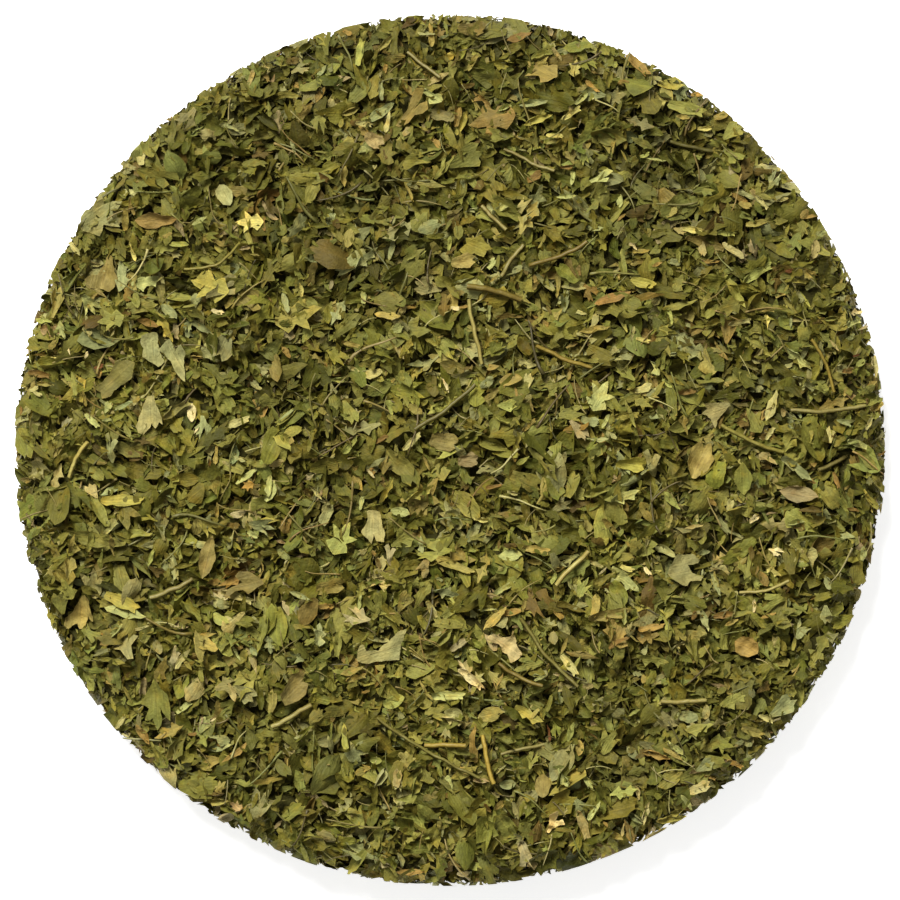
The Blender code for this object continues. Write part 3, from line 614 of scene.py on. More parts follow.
def make_kinds():
    """Fine and coarse meshes of every kind in two collections, and the points each settles on."""
    fine = bpy.data.collections.new("fine flakes")
    coarse = bpy.data.collections.new("coarse flakes")
    settle_points = []
    for shape_number, (outline_kind, width) in enumerate(KIND_SHAPES):
        for curl_number, (curl_name, curl) in enumerate(CURLS.items()):
            number = shape_number * len(CURLS) + curl_number
            for group, (rounds, spacing) in ((fine, FINE_DETAIL), (coarse, COARSE_DETAIL)):
                rng = random.Random(KIND_SEED + number)
                amounts = [angle * rng.uniform(0.6, 1.4) for angle in curl]
                if len(OUTLINES[outline_kind]) >= MANY_POINTS:
                    rounds -= 1
                outline = torn_outline(outline_kind, width * rng.uniform(0.9, 1.1), rounds, FINE_PUSH, rng)
                flat, triangles = filled_sheet(outline, spacing * max(width, 0.45), rng)
                solid = curled(flat, *amounts, FINE_RIPPLE, FINE_CREASES, rng)
                if group is fine:
                    settle_points.append(spread_points(solid, triangles))
                name = f"{group.name.split()[0]}_{number:02d}_{outline_kind}_{curl_name}"
                mesh = closed_flake(name, flat, solid, triangles, FLAKE_THICKNESS)
                group.objects.link(bpy.data.objects.new(name, mesh))
    return fine, coarse, settle_points


fine_flakes, coarse_flakes, leaf_points = make_kinds()
twigs, twig_points = make_twigs()
settle_points = {"fine": leaf_points, "coarse": leaf_points, "twigs": twig_points}
KIND_GROUPS = {"fine": fine_flakes, "coarse": coarse_flakes, "twigs": twigs}
for group in KIND_GROUPS.values():
    counts = [sum(len(p.vertices) - 2 for p in obj.data.polygons) for obj in group.objects]
    print(group.name, len(counts), "kinds of", min(counts), "to", max(counts), "triangles")

# %% [markdown]
# ## Letting the flakes settle
#
# One flake at a time comes down on the grid. The heights under it give a plane, and the flake takes
# that slope, eased so that it stays fairly flat even on the shoulder, plus a lean of its own. It sinks
# until most of its points touch. Letting a few of them dip into what lies below is what bending
# and snagging do in a real heap, and it packs the flakes closely. Then the flake's own height goes
# into the grid, and the next one comes. A spot that has reached its fill level takes no more.

# %% Setting one flake down
STEEPEST = 0.55


class Pile:
    """Heights over a grid on one face of the heap, and the ways to read and raise them."""

    def __init__(self, heights, left, bottom, wraps=False):
        self.heights = heights
        self.left = left
        self.bottom = bottom
        self.wraps = wraps

    def cells(self, x, y):
        rows, columns = self.heights.shape
        row = np.clip(((y - self.bottom) / CELL).astype(int), 0, rows - 1)
        column = np.floor((x - self.left) / CELL).astype(int)
        return row, column % columns if self.wraps else np.clip(column, 0, columns - 1)

    def slope_under(self, points, x, y):
        """Slopes of the plane that fits the heights under the points, and the middle height."""
        under = self.heights[self.cells(points[:, 0] + x, points[:, 1] + y)]
        across = points[:, :2] - points[:, :2].mean(axis=0)
        square = across.T @ across + np.eye(2) * 1e-12
        slope = np.linalg.solve(square, across.T @ (under - under.mean()))
        return slope * min(1.0, STEEPEST / max(float(np.hypot(*slope)), 1e-9)), np.median(under)

    def resting_height(self, points, x, y, dip):
        """Height at which all but a share of the points clear what lies below them."""
        under = self.heights[self.cells(points[:, 0] + x, points[:, 1] + y)]
        return np.quantile(under - points[:, 2], 1.0 - dip)

    def raise_to(self, x, y, heights):
        np.maximum.at(self.heights, self.cells(x, y), heights)


def lean_matrix(slope_x, slope_y):
    """Turns straight up to the normal of a plane with these slopes."""
    normal = Vector((-slope_x, -slope_y, 1.0)).normalized()
    return Vector((0, 0, 1)).rotation_difference(normal).to_matrix()


def settle(pile, points, x, y, heading, lean, dip):
    """Sets a flake down: its turn, its points as they lie, and the middle height that lay under it."""
    heading_turn = Matrix.Rotation(heading, 3, "Z")
    turned = points @ np.array(heading_turn).T
    slope, before = pile.slope_under(turned, x, y)
    tilt = lean_matrix(slope[0] + lean[0], slope[1] + lean[1])
    lying = turned @ np.array(tilt).T
    lying += (0.0, 0.0, pile.resting_height(lying, x, y, dip))
    lying[:, 0] += x
    lying[:, 1] += y
    height = lying[0, 2] - (np.array(tilt @ heading_turn) @ points[0])[2]
    return tilt @ heading_turn, lying, height, before


print("steepest slope a flake takes:", round(math.degrees(math.atan(STEEPEST))), "degrees")

# %% [markdown]
# The colours are few, and each flake takes one by chance: most are olive, some deeper or paler, and one
# in eleven is yellow, golden, tan or brown. Each also gets a little lighter or darker than its colour.
# Patches of the heap are painted duller or brighter as a whole: painted shade over the hollows and along the
# upper rim, painted light along the lower rim and over lighter stretches of the top.

# %% Colours and sizes by chance
HEAP_SEED = 17
TINTS = {
    "deep": ((0.080, 0.074, 0.006), 0.20),
    "olive": ((0.138, 0.127, 0.016), 0.35),
    "leaf": ((0.180, 0.168, 0.030), 0.27),
    "pale": ((0.250, 0.236, 0.078), 0.085),
    "yellow": ((0.250, 0.205, 0.046), 0.030),
    "gold": ((0.215, 0.155, 0.034), 0.026),
    "tan": ((0.290, 0.228, 0.090), 0.012),
    "brown": ((0.105, 0.074, 0.012), 0.022),
}
TWIG_TINTS = {
    "straw": ((0.310, 0.262, 0.088), 0.16),
    "gold": ((0.230, 0.172, 0.042), 0.28),
    "green": ((0.160, 0.145, 0.030), 0.40),
    "brown": ((0.095, 0.072, 0.018), 0.16),
}

# Patches of painted shade and painted light: x, y and reach in millimetres, and how much the colour changes.
LIGHT_AND_SHADE_PATCHES = [
    (32.3, 49.8, 9.0, -0.20), (33.9, 38.5, 7.0, -0.16), (-11.2, 27.3, 7.0, -0.20),
    (-12.8, 40.1, 7.0, -0.16), (-27.3, 40.1, 6.0, -0.14), (-29.7, 51.4, 6.0, -0.14),
    (-29.7, 12.0, 7.0, -0.18), (47.5, 34.5, 7.0, -0.18), (46.7, 10.4, 6.0, -0.14),
    (-20.0, -9.7, 6.0, -0.14), (-53.0, -19.4, 6.0, -0.16), (-24.1, -53.2, 7.0, -0.16),
    (46.7, -38.7, 6.0, -0.14), (28.2, -50.0, 7.0, -0.16), (-48.2, 12.8, 8.0, 0.16),
    (-31.3, -6.5, 7.0, 0.16), (24.2, -19.4, 7.0, 0.14), (11.3, -30.7, 6.0, 0.12),
    (-37.7, -22.6, 7.0, 0.14), (-11.2, -33.1, 8.0, 0.14), (0.0, 11.2, 6.0, 0.10), (38.7, 0.0, 7.0, 0.10),
    (62.0, 4.8, 7.0, 0.14), (-8.0, -51.5, 7.0, 0.10), (50.0, -25.0, 7.0, 0.12), (5.7, 33.8, 6.0, 0.10),
    (24.5, 7.2, 6.0, 0.12), (-11.7, 68.1, 7.0, -0.22), (8.8, 68.6, 7.0, -0.22), (-27.5, 63.0, 6.0, -0.18),
    (-43.0, 54.1, 6.0, -0.18), (38.5, 57.4, 6.0, -0.18), (-57.5, 38.4, 6.0, -0.20),
    (7.2, 53.3, 5.0, -0.14), (-63.0, -26.0, 4.0, 0.20), (64.4, -25.2, 5.0, 0.20),
    (56.2, -40.1, 5.0, 0.16), (-20.0, -66.2, 6.0, 0.18), (6.5, -59.8, 6.0, 0.18),
]
PAINTED_LIGHT_STRENGTH = 1.35
# How far a flake strays from its tint in brightness and in warmth.
TINT_SPREAD = 0.17
WARMTH_SPREAD = 0.05


def painted_light_and_shade(x, y):
    """How much painted light brightens or painted shade dulls the heap at a spot, as a factor near one."""
    change = 0.0
    for patch_x, patch_y, reach, amount in LIGHT_AND_SHADE_PATCHES:
        away = math.hypot(x / MM - patch_x, y / MM - patch_y) / reach
        change += amount * math.exp(-away * away)
    return 1.0 + PAINTED_LIGHT_STRENGTH * change


def drawn_tint(tints, rng, x, y):
    """A flake's colour: one of the named tints, a little lighter or darker and warmer or greener."""
    chances = [chance for _, chance in tints.values()]
    base = np.array(rng.choices(list(tints.values()), chances)[0][0])
    # The patch where the flake lies brightens its tint with painted light or dulls it with painted shade.
    brightness = painted_light_and_shade(x, y) * math.exp(rng.gauss(0, TINT_SPREAD))
    warmth = rng.gauss(0, WARMTH_SPREAD)
    return base * brightness * np.array([1 + warmth, 1 - warmth / 3, 1 - warmth])


print(len(TINTS), "leaf tints,", len(TWIG_TINTS), "twig tints and", len(LIGHT_AND_SHADE_PATCHES), "patches")

# %% [markdown]
# Some flakes catch the eye: paler, golden, larger, or of a clear shape. These are marked one by one, at
# their places in the photo, under the name of their outline and tint. Each row gives the place, the
# length in millimetres and the way the tip points in degrees.

# %% Flakes that catch the eye
MARKED_DIP = 0.14
MARKED_SPREAD = 0.05
MILD_CURLS = 3
SHAPE_NAMES = [name for name, _ in KIND_SHAPES]
MARKED_TINTS = {
    "cream": (0.640, 0.530, 0.225), "straw": (0.390, 0.345, 0.110), "tancream": (0.368, 0.292, 0.092),
    "tan": (0.330, 0.252, 0.055), "tangrey": (0.380, 0.330, 0.118), "pale": (0.360, 0.362, 0.108),
    "grey": (0.276, 0.282, 0.101), "bright": (0.300, 0.304, 0.065), "yellow": (0.520, 0.450, 0.115),
    "gold": (0.246, 0.190, 0.038), "orange": (0.302, 0.196, 0.042), "orangebrown": (0.230, 0.140, 0.032),
    "brown": (0.198, 0.120, 0.025), "red": (0.135, 0.053, 0.012), "leaf": (0.225, 0.213, 0.041),
    "green": (0.165, 0.160, 0.030), "dark": (0.110, 0.104, 0.016), "olivetan": (0.280, 0.232, 0.051),
    "yellowolive": (0.310, 0.268, 0.047), "brownolive": (0.138, 0.112, 0.020),
}
MARKED_FLAKES = {
    "boat bright": [(-47.5, -17.1, 3.9, 65), (35.3, -8.1, 4.2, -45), (29.5, -41.9, 2.3, 30),
        (19.2, -45.1, 3.5, 70)],
    "claw bright": [(21.3, 46.7, 2.6, -90), (21, -22, 4.2, 60)],
    "crescent bright": [(35.3, 21.5, 3.5, -65)],
    "fan bright": [(-22.9, 18.6, 3.2, 60), (9.3, 7.2, 3.5, 0)],
    "feather bright": [(27.9, -54.8, 4.8, 10)],
    "five_lobed bright": [(-17.3, -14.1, 5.8, 60)],
    "forked bright": [(-64.8, 20.8, 3.2, 160)],
    "oval bright": [(65.6, 13.9, 2.1, 30), (-8.9, -40.1, 4.2, 20), (-11.8, -49.5, 2.3, 0)],
    "strip bright": [(-14.2, 63.6, 4.8, 80), (44.2, 34.8, 3.5, -5), (-15.7, 0.9, 4.2, 45),
        (49, 28.6, 6.1, 30)],
    "torn bright": [(-43.4, 32.7, 3.5, -10), (-36.6, -27.1, 3.9, -30), (-63, 19.1, 1.6, 30),
        (31.3, 47.2, 1.9, 20), (0.1, 32.9, 2.6, 80), (-17.8, 11.5, 3.2, -10), (35, 10.7, 2.6, -40),
        (16.8, -20.5, 2.3, 60)],
    "tripoint bright": [(-9.3, 6.8, 3.2, -80)],
    "wing bright": [(-61.7, 12, 3.9, -50)],
    "boat brown": [(-48.2, 20.5, 4.2, -15), (11.2, 65.9, 4.5, 15), (37.6, 9.4, 3.5, 0),
        (64.4, -9.7, 2.6, -10)],
    "crescent brown": [(-29.8, 36.1, 2.9, 95), (26.8, -30.7, 4.5, 35)],
    "strip brown": [(-65.6, 12.3, 4.2, -10), (7.2, -6, 3.2, 5), (44, -26.3, 4, 8), (62, -4.9, 3.2, -70)],
    "torn brown": [(-41.1, -45.5, 1.6, 0), (-68.5, 6.2, 1.9, 90), (-3, 62.3, 2.3, 80),
        (13.6, 43.7, 3.2, 30), (18.7, 45.5, 2.6, 0), (-11, 1.4, 2.9, 20), (39, -26.3, 1.9, 70),
        (63.5, 12.8, 2.3, 0)],
    "twig brown": [(-22.8, -12.6, 7.2, 25), (4.4, -6.2, 6.6, 45)],
    "oval brownolive": [(0.4, 13.4, 4.5, -20)],
    "torn brownolive": [(30, 13.4, 3.9, 60)],
    "tripoint brownolive": [(-2.7, 10.7, 4.8, 85)],
    "oval cream": [(-41.1, 5.9, 3.2, 95)],
    "sliver cream": [(-40.5, 3.1, 1.8, 50), (-60.9, 16, 1.8, 110), (20.7, 52.4, 1.9, 75),
        (-0.6, 10.4, 2.9, -60), (2.2, -35, 3.5, -50)],
    "split cream": [(52.2, -16.3, 2.6, -20)],
    "strip cream": [(-12.8, -3.8, 2.1, -50), (3.6, -36.4, 5.8, -42)],
    "torn cream": [(-37.1, 22, 2.3, -20), (-33.9, -10.1, 2.9, 10), (-38.1, -43, 1.9, 30),
        (-58.2, 15.2, 1.3, 60), (13.3, 59.5, 1.3, 0), (1, 22.6, 1.8, -10), (48.5, -10.9, 2.4, 30),
        (31.6, -19.5, 1.9, -60), (48.7, -25, 2.3, 80), (2.2, -67.7, 2.3, 0)],
    "tripoint cream": [(29.5, 32.7, 1.9, -50), (65.1, 22.1, 2.6, 10)],
    "boat dark": [(50.8, -28.4, 4.2, 30)],
    "fan dark": [(5.7, 59.6, 4.8, -20)],
    "feather dark": [(-37.1, 11.8, 6.4, -40)],
    "twig dark": [(23.7, 13.4, 7.7, 28)],
    "wing dark": [(-31.6, -45.3, 5.5, 100)],
    "boat gold": [(-58.6, 8.4, 2.9, 100), (-17.3, 44.3, 4.8, 85), (23.3, 18.9, 5.5, 5),
        (13.6, -17.9, 3.2, -5), (-15.7, -35.5, 4.2, 20)],
    "crescent gold": [(-8.8, 24.1, 2.6, -60)],
    "fan gold": [(26.3, 48.4, 2.3, 80)],
    "sliver gold": [(-6.4, 40.8, 3.9, -75)],
    "strip gold": [(-51.9, 37.2, 4.5, 88), (-15.2, -36.3, 4.2, 10), (52.1, 46.4, 2.3, -40),
        (-15.7, 17, 3.5, -12), (12.5, 4.1, 3.2, 40), (30.5, 31.6, 3.2, 5), (50.6, 22.6, 3.2, 0),
        (11.7, -24.9, 2.6, 70), (25.5, -12, 3.9, -50), (18.9, -16.5, 2.3, 0)],
    "torn gold": [(-35, 23.6, 2.6, 40), (-19.2, -21.6, 5.8, 10), (-63.6, 16.8, 2.3, 40),
        (-50.1, 8, 1.9, 40), (43.5, 53.5, 3.2, 30)],
    "twig gold": [(-32.6, 25.3, 7.1, 43), (37.6, 28.2, 3.2, -22), (40.1, 25.8, 6.4, -28),
        (11.7, -22.3, 6.6, 38), (-3.1, -30.7, 4.3, -25), (-4.9, -33.1, 4, -40), (-5.2, -32.6, 3.5, -40)],
    "twig green": [(-22, -48.2, 7.1, 90), (10.1, 14.1, 4.7, 90), (36.4, 8.8, 7.7, 110),
        (61.1, 0.6, 3.9, 75), (59.3, -13.8, 8, 0)],
    "boat grey": [(-26.5, 23.6, 4.2, 95), (-23.7, -23.4, 4.2, -25), (13.8, 55.6, 5.5, 5),
        (-9.1, 32.3, 4.2, 70), (42.4, -21.8, 3.9, -75), (54.5, 20.4, 2.3, 80)],
    "claw grey": [(-30, -12, 4.2, -10), (18.7, 24.1, 4.5, 70), (63.5, 3.8, 3.9, -30)],
    "fan grey": [(-5.4, 13.4, 3.2, -10), (40.9, -50.3, 3.9, 30), (53, -41.1, 5.5, 30)],
    "feather grey": [(-17.8, 22.1, 5.1, 60)],
    "five_lobed grey": [(-21.2, -29.5, 4.2, 80), (-28.6, -31.1, 3.2, -90), (-14.9, -47.9, 4.5, 60)],
    "oval grey": [(-45.1, 22, 3.5, -40), (35.5, 15.5, 1.9, 0), (37.9, -42.7, 3.9, -10),
        (9.3, -53.3, 3.2, 10)],
    "split grey": [(51.6, 43.2, 3.9, 60)],
    "strip grey": [(-11.2, 57.4, 3.5, 92)],
    "torn grey": [(6, 11, 3.2, 40), (22.3, 4.4, 3.9, -10)],
    "wing grey": [(-52.1, 27.9, 5.8, 95), (-13.6, 30.7, 5.5, 40), (-0.4, -22.8, 5.1, -10),
        (54.9, -3.3, 7.1, -35)],
    "boat leaf": [(-50.9, -13.9, 7.1, 2), (-0.9, 45.5, 3.5, 80), (52.5, -31.5, 3.9, 75),
        (26, -63, 3.9, -60), (12.6, -34.5, 4.8, 10)],
    "claw leaf": [(15, 27.1, 3.2, -100), (25.5, -46.3, 5.5, 60)],
    "fan leaf": [(-62.3, -24.2, 4.6, 100), (-61.0, -26.2, 4.0, 20), (45.1, 50.8, 4.5, 40),
        (-16.3, 5.9, 4.5, -70), (-7.5, -14.4, 4.5, 20)],
    "five_lobed leaf": [(-54.3, 20.7, 4.5, 190), (8.9, 4.1, 4.5, -30)],
    "forked leaf": [(-1.7, 23.3, 2.9, 60), (2, -11.2, 2.9, -40)],
    "oval leaf": [(-50, 23.9, 2.9, 100), (-66.2, 5.9, 2.9, 80), (14.6, 62.7, 4.2, 10), (44, 40.1, 2.3, 0),
        (-12.6, 14.7, 3.2, 20), (36.9, 31.1, 3.2, 85), (-12, -25.8, 2.9, 75), (-4.6, -35.5, 5.5, 8),
        (23.4, -6.8, 5.1, 10), (49.3, -7.2, 1.9, 85), (60.7, 21, 2.9, 0), (-1.4, -30.2, 4.8, 40)],
    "split leaf": [(13.3, -49.6, 4.2, 70)],
    "strip leaf": [(-59.9, 10.7, 4.5, 100), (38.1, 54.5, 7.1, -15)],
    "torn leaf": [(-57.4, -14.4, 3.9, 70), (-48.5, -29.2, 3.5, 60), (-0.1, -25.8, 3.2, 40),
        (-17.9, -31.1, 4.2, 80), (13.4, -30.8, 3.9, 80)],
    "wing leaf": [(-5.7, 64, 5.5, 30), (23.9, 41.3, 4.2, 40), (-5.4, 30.8, 4.2, 20), (13.6, -30, 4.5, 80),
        (32.4, -33.5, 5.5, -10), (40, -44.8, 4.8, 15), (45.6, -40.1, 5.5, 30)],
    "boat olivetan": [(-64.9, 10.7, 3.5, -10), (11.5, 24.2, 3.2, -35), (32.4, -61.4, 5.5, 30)],
    "fan olivetan": [(-63.3, 23.6, 5.5, 75), (-7.5, -24.1, 4.2, 60)],
    "feather olivetan": [(-61.1, -16.7, 8, 80), (12.5, 37.2, 7.1, 60), (5.7, -18.7, 5.8, 70)],
    "forked olivetan": [(4.4, 55.3, 3.2, -60)],
    "oval olivetan": [(-40.5, -12, 3.5, 80), (-16.2, 54.3, 3.9, 15), (-16.2, 33.7, 3.5, 80),
        (-5.7, 6.5, 2.9, -30), (25.8, -29.4, 2.9, 80), (6.7, -42.4, 4.8, 10)],
    "strip olivetan": [(-35.6, 30.7, 3.9, 70), (0.9, -18.7, 7.1, -25), (48.2, -45.1, 4.8, -17)],
    "torn olivetan": [(-28.2, -40, 3.9, 80), (-10.5, 65.1, 3.5, 40), (3.9, 61.9, 3.5, 50),
        (35.6, 37.9, 2.9, 40), (49.2, 36.1, 3.9, 0), (-18.6, 1, 2.9, 0), (34.8, -11.2, 2.9, 70)],
    "tripoint olivetan": [(40.9, 14.2, 5.1, 100), (21.3, -11.2, 4.8, 100)],
    "wing olivetan": [(-39.8, -31.1, 5.5, 100)],
    "boat orange": [(-49.2, -45.3, 4.2, -60), (46.7, 40.3, 3.9, -40), (33.1, 29.7, 1.9, 20),
        (50.8, -26.6, 2.9, 20), (33.1, -48.4, 5.5, -20)],
    "oval orange": [(-26.3, 15.5, 2.3, -60)],
    "sliver orange": [(10.7, 9.1, 2.9, -80)],
    "strip orange": [(22.8, 58, 3.2, -45), (30, 61.4, 5.5, -45), (39.7, 56.9, 2.9, 10),
        (2.3, 22.8, 1.9, 10), (41.9, 30, 2.9, 0), (32.4, -28.6, 4.8, 10), (41.6, -52.2, 2.3, -20),
        (45.5, -50, 3.5, -30)],
    "torn orange": [(-19.4, -24.9, 2.3, 10), (-56, 12.3, 1.8, 80), (-10.5, 61.1, 1.8, 80),
        (-16.3, 66.7, 1.9, -30), (-2.2, 49, 2.3, 120), (42.1, -8.3, 1.8, -60), (-20, -24.9, 2.3, 10)],
    "twig orange": [(67, -1.9, 6.4, -37), (-3.1, -30.5, 3.9, -25)],
    "boat orangebrown": [(26, 24.2, 6.4, 15)],
    "boat pale": [(-40.3, 36.6, 3.2, 25), (-32.4, -4.4, 4.8, 35), (-51.6, -26.1, 7.4, -18),
        (-54.8, 4.9, 1.9, 10), (8, 38.7, 3.2, 15), (18.9, 40.6, 3.9, 0), (-14.2, -8.3, 2.9, 70),
        (-14.2, -24.4, 3.2, 80), (14.2, -36.1, 2.9, -30), (37.9, -56.2, 3.5, -60),
        (14.4, -36.3, 2.3, 20)],
    "claw pale": [(-57.7, 23.4, 3.9, -60), (22.3, -53.3, 3.9, -60)],
    "crescent pale": [(-52.7, 9.1, 2.9, -45)],
    "fan pale": [(-53.2, -28.9, 3.9, 40), (-39.3, -44, 3.2, 60), (-54.8, 6.7, 2.3, 60),
        (-13.6, 48.4, 3.2, 30), (-8.4, 19.5, 2.9, 30), (18.4, -52.2, 3.5, -60), (59.6, 4.4, 6.4, 20)],
    "feather pale": [(55.9, 15, 6.4, -45)],
    "five_lobed pale": [(23.9, 8.6, 5.5, 60), (27.9, -26.3, 3.5, 80)],
    "forked pale": [(24.4, 43.4, 4.8, 15), (35.6, -47.9, 3.9, -50)],
    "oval pale": [(-28.6, -6.7, 3.9, 70), (8.6, 54.5, 2.9, 20), (27.3, 39.8, 2.3, 85),
        (0.7, 18.7, 1.9, 80), (-8, -9.9, 3.2, -10), (9.7, -17.1, 3.9, 5), (55.3, -11.8, 3.2, 10)],
    "sliver pale": [(-34, -32.6, 3.2, -60), (-67.1, 14.6, 1.9, 100), (-7.8, 59.5, 1.6, 30),
        (32.9, 46.3, 3.5, -10), (6, -25.3, 3.2, 5)],
    "strip pale": [(-42.4, -41.3, 3.5, 40), (-57.2, 4.6, 3.5, -45), (6, 22.1, 3.5, 85),
        (23.3, -57.8, 3.9, 50), (64.1, 20.4, 3.9, 15), (65.1, 1, 4.5, -20), (-0.2, -39.3, 6.1, 0)],
    "torn pale": [(-28.6, -6, 3.9, 80), (-31.3, -13.4, 2.3, -30), (-26.6, -16.7, 2.9, -50),
        (-6.5, 61.9, 3.2, -20), (21, 56.4, 3.5, 40), (19.7, 43.4, 2.9, 80), (6.7, 29.8, 2.3, 60),
        (-13.8, 24.5, 2.3, 90), (25, 4.4, 2.6, 60), (54.1, -24.5, 1.6, 80), (59.3, 34.7, 2.3, 0),
        (57.7, 26.5, 2.3, 40), (64, 18.1, 1.9, 30), (66, -16.5, 2.6, 80)],
    "tripoint pale": [(-3.1, 56.6, 4.8, 150), (32.9, 13, 3.2, 120), (0.4, -53.3, 3.5, -80)],
    "wing pale": [(-48.2, 26.6, 5.8, 15), (-62.3, 19.1, 3.2, -70), (8.9, -22.4, 4.5, 30),
        (27.9, -7.6, 5.5, 20), (27.8, -20.8, 6.1, -40)],
    "sliver red": [(16, -45.3, 3.2, 100)],
    "torn red": [(-56.1, 13.3, 1.8, 20), (54.3, 28.7, 1.6, 20), (64.9, 15, 1.3, 10)],
    "twig red": [(47.7, 8, 2.3, 10)],
    "boat straw": [(-21.2, -6.7, 3.2, -50), (-43, -33.2, 4.2, 50), (53, 40.1, 2.3, 10),
        (-15.5, 13, 2.3, -25), (51.7, 7, 5.5, 70)],
    "fan straw": [(12.6, 11, 2.9, 80), (23.3, 20.7, 2.6, 60)],
    "feather straw": [(12.1, 14.1, 4.2, 170)],
    "oval straw": [(-12.1, 12.1, 3.5, 5), (40.9, -41.9, 2.6, 80)],
    "strip straw": [(-34, 4.4, 5.1, 20), (-52.5, -43.4, 3.2, 50), (-13.8, 52.2, 3.2, -10),
        (-9.7, 52.5, 3.9, 75), (50.1, 39.7, 3.5, -50), (-6, 1.5, 4.5, 42), (46.3, 20.7, 4.2, 10),
        (51.2, 2.8, 2.9, 55), (-3, -25.5, 3.9, -60), (23.3, -18.3, 2.9, -20), (19.2, -34.5, 4.8, -52),
        (50.8, -42.9, 3.2, -20), (66.9, 4.4, 2.9, 60)],
    "torn straw": [(-59.9, 32.1, 3.2, -60), (-66.5, 9.7, 1.9, 30), (-65.9, 8.9, 1.8, -30),
        (31, 9.6, 3.5, 20), (10.1, -6.7, 2.3, -20), (44.6, -8.9, 2.9, 70)],
    "tripoint straw": [(39.7, -10.4, 2.6, 80), (-49.2, 46.7, 2.9, 60)],
    "twig straw": [(-59.5, 26, 3.2, -3), (-30.7, 0.4, 4.3, 12), (-45.6, -27.6, 5.5, -13),
        (-34.2, -46.9, 5.1, 65), (11, 44.5, 3.9, -48), (25, 55.3, 4.8, -28), (-2.2, 21.2, 4.8, 35),
        (-13.3, 20.8, 3.1, 22), (-12, 9.9, 3.2, -27), (-10.4, 7.6, 2.6, 85), (34, 7.5, 5, -27),
        (47.2, 13.8, 4.5, -65), (11.7, -8.3, 7.9, -17), (4.6, -32.1, 3.2, -12), (23.9, -50.6, 4.3, -5),
        (35, -56.2, 3.7, 90), (35.3, -51.2, 4.8, 12), (38.4, -50.4, 2.6, -40), (4.7, -32.1, 3.2, -12)],
    "wing straw": [(36.6, -31, 3.2, 30), (0.6, -43, 4.8, -20)],
    "boat tan": [(37.4, 53.3, 2.6, -10), (-9.7, 21.6, 4.8, -8), (7.5, -27, 5.5, 40), (45, -27.6, 2.6, 25),
        (7.3, -27.1, 4.8, 40)],
    "oval tan": [(20.5, -47.7, 2.9, 85)],
    "sliver tan": [(10.9, 50.1, 2.4, -25)],
    "strip tan": [(-37.2, -0.7, 3.5, 80), (-37.4, -9.6, 3.2, 85), (-3, 66.5, 4.2, 90),
        (13.8, -15.8, 5, -10)],
    "torn tan": [(-45.1, 34.4, 1.9, 20), (47.4, 39.2, 2.6, -20), (44.6, 10.7, 1.9, 20),
        (23.4, -24.9, 3.9, 80)],
    "tripoint tan": [(37.4, 4.1, 3.5, -70)],
    "boat tancream": [(-34.7, -38.7, 3.5, 110), (-1.9, 59.6, 4.5, 25), (39.2, -12.5, 3.5, 5)],
    "crescent tancream": [(27.8, -60.6, 2.9, 80)],
    "fan tancream": [(-57.2, -6.7, 3.2, 120)],
    "oval tancream": [(53.3, 6, 1.9, 80), (22, -37.7, 2.1, 0), (58.2, 32.1, 3.2, 80)],
    "sliver tancream": [(-55.8, 14.7, 1.6, 40), (61.4, 16.8, 2.6, -50)],
    "strip tancream": [(21.3, -59.9, 5.8, -72)],
    "torn tancream": [(-39.5, 28.9, 4.8, -8), (-27.8, -2, 2.9, 10), (16.8, 63.2, 2.9, -60),
        (-7, 50.9, 2.3, 50), (48, 50.3, 1.6, 30), (40.5, 32.1, 2.9, -80), (-4.1, -19.1, 2.9, 90),
        (29.8, -54.9, 2.6, 90), (-8.4, -52.4, 3.5, 80), (-31.5, 59.6, 3.2, 60)],
    "tripoint tancream": [(51.1, -1.2, 3.5, -30)],
    "boat tangrey": [(31, -58, 4.2, 70)],
    "fan tangrey": [(67.7, 13.3, 3.9, 90)],
    "torn tangrey": [(45, 31.6, 4.5, -40), (40.1, -54, 4.2, 20)],
    "crescent yellow": [(-50.6, 31.8, 3.9, 110)],
    "five_lobed yellow": [(-32.1, 36.3, 4.5, 180), (19.9, 61.2, 2.9, 80)],
    "strip yellow": [(19.2, 54, 4.2, 30), (39, 35.3, 3.9, -5), (30.8, 17.5, 2.6, -12)],
    "torn yellow": [(-23.9, 25.5, 2.6, 90), (-63.2, 15, 1.4, 0), (16.7, 50, 2.9, -10),
        (41.1, 51.6, 3.2, 0), (5.1, -10.9, 2.9, -15), (28.4, -19.1, 2.6, -20)],
    "tripoint yellow": [(50.8, 20.2, 3.2, -90)],
    "wing yellow": [(51.6, -19.2, 3.9, -30)],
    "boat yellowolive": [(13.8, 53, 5.5, 15), (-13.4, -42.1, 3.5, 80)],
    "fan yellowolive": [(35.3, 58.3, 4.8, 0)],
    "five_lobed yellowolive": [(-38.4, 26, 6.4, 160), (-2.7, 16.5, 4.2, -40)],
    "forked yellowolive": [(66.7, -8, 4.8, -60)],
    "strip yellowolive": [(-51.9, -8.4, 8, -3), (-52.2, -24.5, 7.1, -25), (35.3, -58.8, 5.5, 0)],
    "torn yellowolive": [(2, 52.1, 4.5, 60)],
    "tripoint yellowolive": [(31.3, -25, 3.5, -10)],
    "wing yellowolive": [(-6.7, 16.5, 4.2, 60), (11, 1.4, 4.2, 70), (-9.7, -6.4, 5.1, 60),
        (-4.6, -6.8, 5.5, 30), (12.6, -42.7, 5.5, -30)],
}
print(sum(len(places) for places in MARKED_FLAKES.values()), "marked flakes")

# %% [markdown]
# The wall of the heap comes first. It is unrolled into a strip: one side of the grid runs round the heap,
# the other runs up, and the height of a cell is how far the heap reaches outwards there. So the same
# settling does for the wall, the top and the underside, and only the frame that a flake is put in
# differs. Last comes what lies on top: small crumbs in the gaps, and thin bits of leaf stalk.

